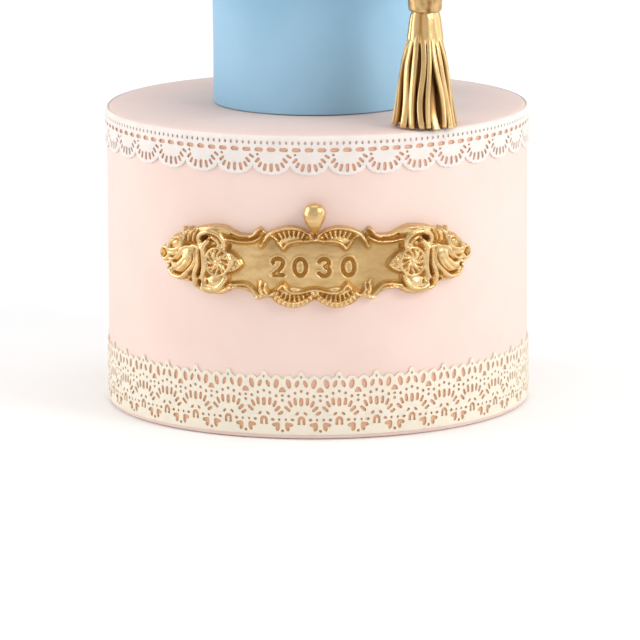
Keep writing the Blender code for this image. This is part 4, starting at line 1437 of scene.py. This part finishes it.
def hang_strip(top_turn, foot_turn, start, share, width, twist, dull_and_shade, flare=0.0):
    """Copies the pattern strip and hangs it from start. share is how far out it hangs, 1 for outermost, and
    flare is added to it towards the foot."""
    strip = add_object("strip", pattern.data.copy())
    foot = STRIP_FOOT + random.uniform(0, 1.2)
    top = start + 3.5
    sway, bulge = random.uniform(-0.085, 0.085), random.uniform(-0.7, 0.25)
    points, tone_and_shade = points_of(strip), []
    for index, (x, y, z) in enumerate(points):
        down = 0.5 - z
        # Painted shade on the inner half, and the strip's dullness, which grows over its upper part.
        tone_and_shade.append((SIDE_SHADE if y < 0 else 0.0) + dull_and_shade * min(1.0, down * 2.5))
        tall = top + (foot - top) * down
        fallen = clamp((start - tall) / (start - foot))
        turn = top_turn + (foot_turn - top_turn) * fallen**0.8 + sway * math.sin(math.tau * fallen)
        sink = 1.3 * clamp((tall - start + 1.0) / 4.5) * MM
        reach = share + flare * fallen**2
        middle = (skirt_radius(tall) * reach + bulge * math.sin(math.pi * fallen)) * MM
        middle -= STRIP_THICKNESS / 2 + sink
        face = turn + twist * fallen**1.5
        wide = width * (0.92 + 0.16 * fallen)
        crown = (1 - 4 * x * x) * (y > 0) * STRIP_CROWN
        out = Vector((math.sin(turn), -math.cos(turn), 0)) * middle
        out += Vector((math.sin(face), -math.cos(face), 0)) * (y * STRIP_THICKNESS + crown)
        out -= Vector((math.cos(face), math.sin(face), 0)) * x * wide
        points[index] = (TASSEL_AXIS.x + out.x, TASSEL_AXIS.y + out.y, tall * MM)
    set_points(strip, points)
    write_shares(strip, "hollow", tone_and_shade)
    return strip


# %% Strips all round
# The dullness of the two outermost front strips, at the tassel's edges, is painted shade; on the others it is
# tone.
FRONT_STRIPS = (  # angle at the head and at the foot, slit, width, dullness, twist
    (-1.28, -1.24, 191, 2.5, 0.42, -0.3),
    (-0.92, -0.82, 195, 3.3, 0.0, 0.30),
    (-0.58, -0.48, 197, 2.9, 0.2, -0.45),
    (-0.17, -0.12, 196, 2.7, 0.35, -0.25),
    (0.19, 0.08, 198, 2.2, 0.0, 0.45),
    (0.43, 0.66, 197, 2.5, 0.05, 0.5),
    (0.71, 0.90, 193, 2.6, 0.25, -0.4),
    (1.00, 1.17, 195, 2.5, 0.0, 0.35),
    (1.30, 1.42, 190, 2.3, 0.4, 0.1),
)
BACK_STRIPS = 11
BACK_START_TURN, BACK_ARC = 1.66, math.tau - 3.32
INNER_STRIPS = 14
STRIP_TONES = (0.0, 0.0, 0.15, 0.3, 0.42)  # some fronts got less powder than others
strips = []
for top_turn, foot_turn, start, width, dull_and_shade, twist in FRONT_STRIPS:
    strips.append(hang_strip(top_turn, foot_turn, start, random.uniform(0.96, 1.0), width * MM, twist, dull_and_shade))
for k in range(BACK_STRIPS):
    turn = BACK_START_TURN + BACK_ARC * k / (BACK_STRIPS - 1)
    foot_turn = turn + random.uniform(-0.06, 0.06)
    width = STRIP_WIDTH * random.uniform(0.85, 1.15)
    twist, dull_and_shade = random.uniform(-0.6, 0.6), random.choice(STRIP_TONES)
    start, share = random.uniform(192, 197), random.uniform(0.94, 1.0)
    strips.append(hang_strip(turn, foot_turn, start, share, width, twist, dull_and_shade))
# The inner strips, behind the outer ones, get a dullness of 0.3 as painted shade.
for k in range(INNER_STRIPS):
    turn = 0.12 + math.tau * k / INNER_STRIPS
    foot_turn = turn + random.uniform(-0.15, 0.15)
    twist = random.uniform(-0.7, 0.7)
    start, share = random.uniform(186, 189), random.uniform(0.54, 0.66)
    strips.append(hang_strip(turn, foot_turn, start, share, STRIP_WIDTH, twist, 0.3))
strips.append(hang_strip(0.24, 0.36, 187, 0.6, 3.6 * MM, 0.1, 0.0, 0.34))  # behind the widest gap at the front
for strip in strips:
    ease_edges(strip, 0.28 * MM, 2, 40)
bpy.data.objects.remove(pattern)
print(f"{len(strips)} strips")

# %% Head and strips together
def join(pieces):
    """Makes several meshes one."""
    only(pieces[0])
    for piece in pieces:
        piece.select_set(True)
    bpy.ops.object.join()
    return pieces[0]


head_points = len(head.data.vertices)
tassel = join([head, *strips])
smooth_shading(tassel, 50)
points = points_of(tassel)
angles, distances = round_tassel(points)
# Painted shade: deeper inside the tassel, on the head where it draws in behind the strips, and down the broad
# fold of the head's front; the second darkening adds more in the deepest parts.
depth = skirt_radius(points[:, 2] / MM) - distances / MM
fold_shade = 0.7 * bell(angles, -0.30, 0.24) * clamp((points[:, 2] / MM - 190) / 8)
tone_and_shade = read_shares(tassel, "hollow")
tone_and_shade[:head_points] = clamp((depth[:head_points] - 1.2) / 0.8, 0.8)
write_shares(tassel, "hollow", clamp(tone_and_shade + clamp((depth - 1.0) / 3.0, 0.6) + fold_shade))
write_shares(tassel, "painted_shade", clamp((depth - 2.0) / 3.0, 0.65))
finish_piece(tassel, "tassel_fringe", "gold_paste", tassel_gold, "tassel_skirt")
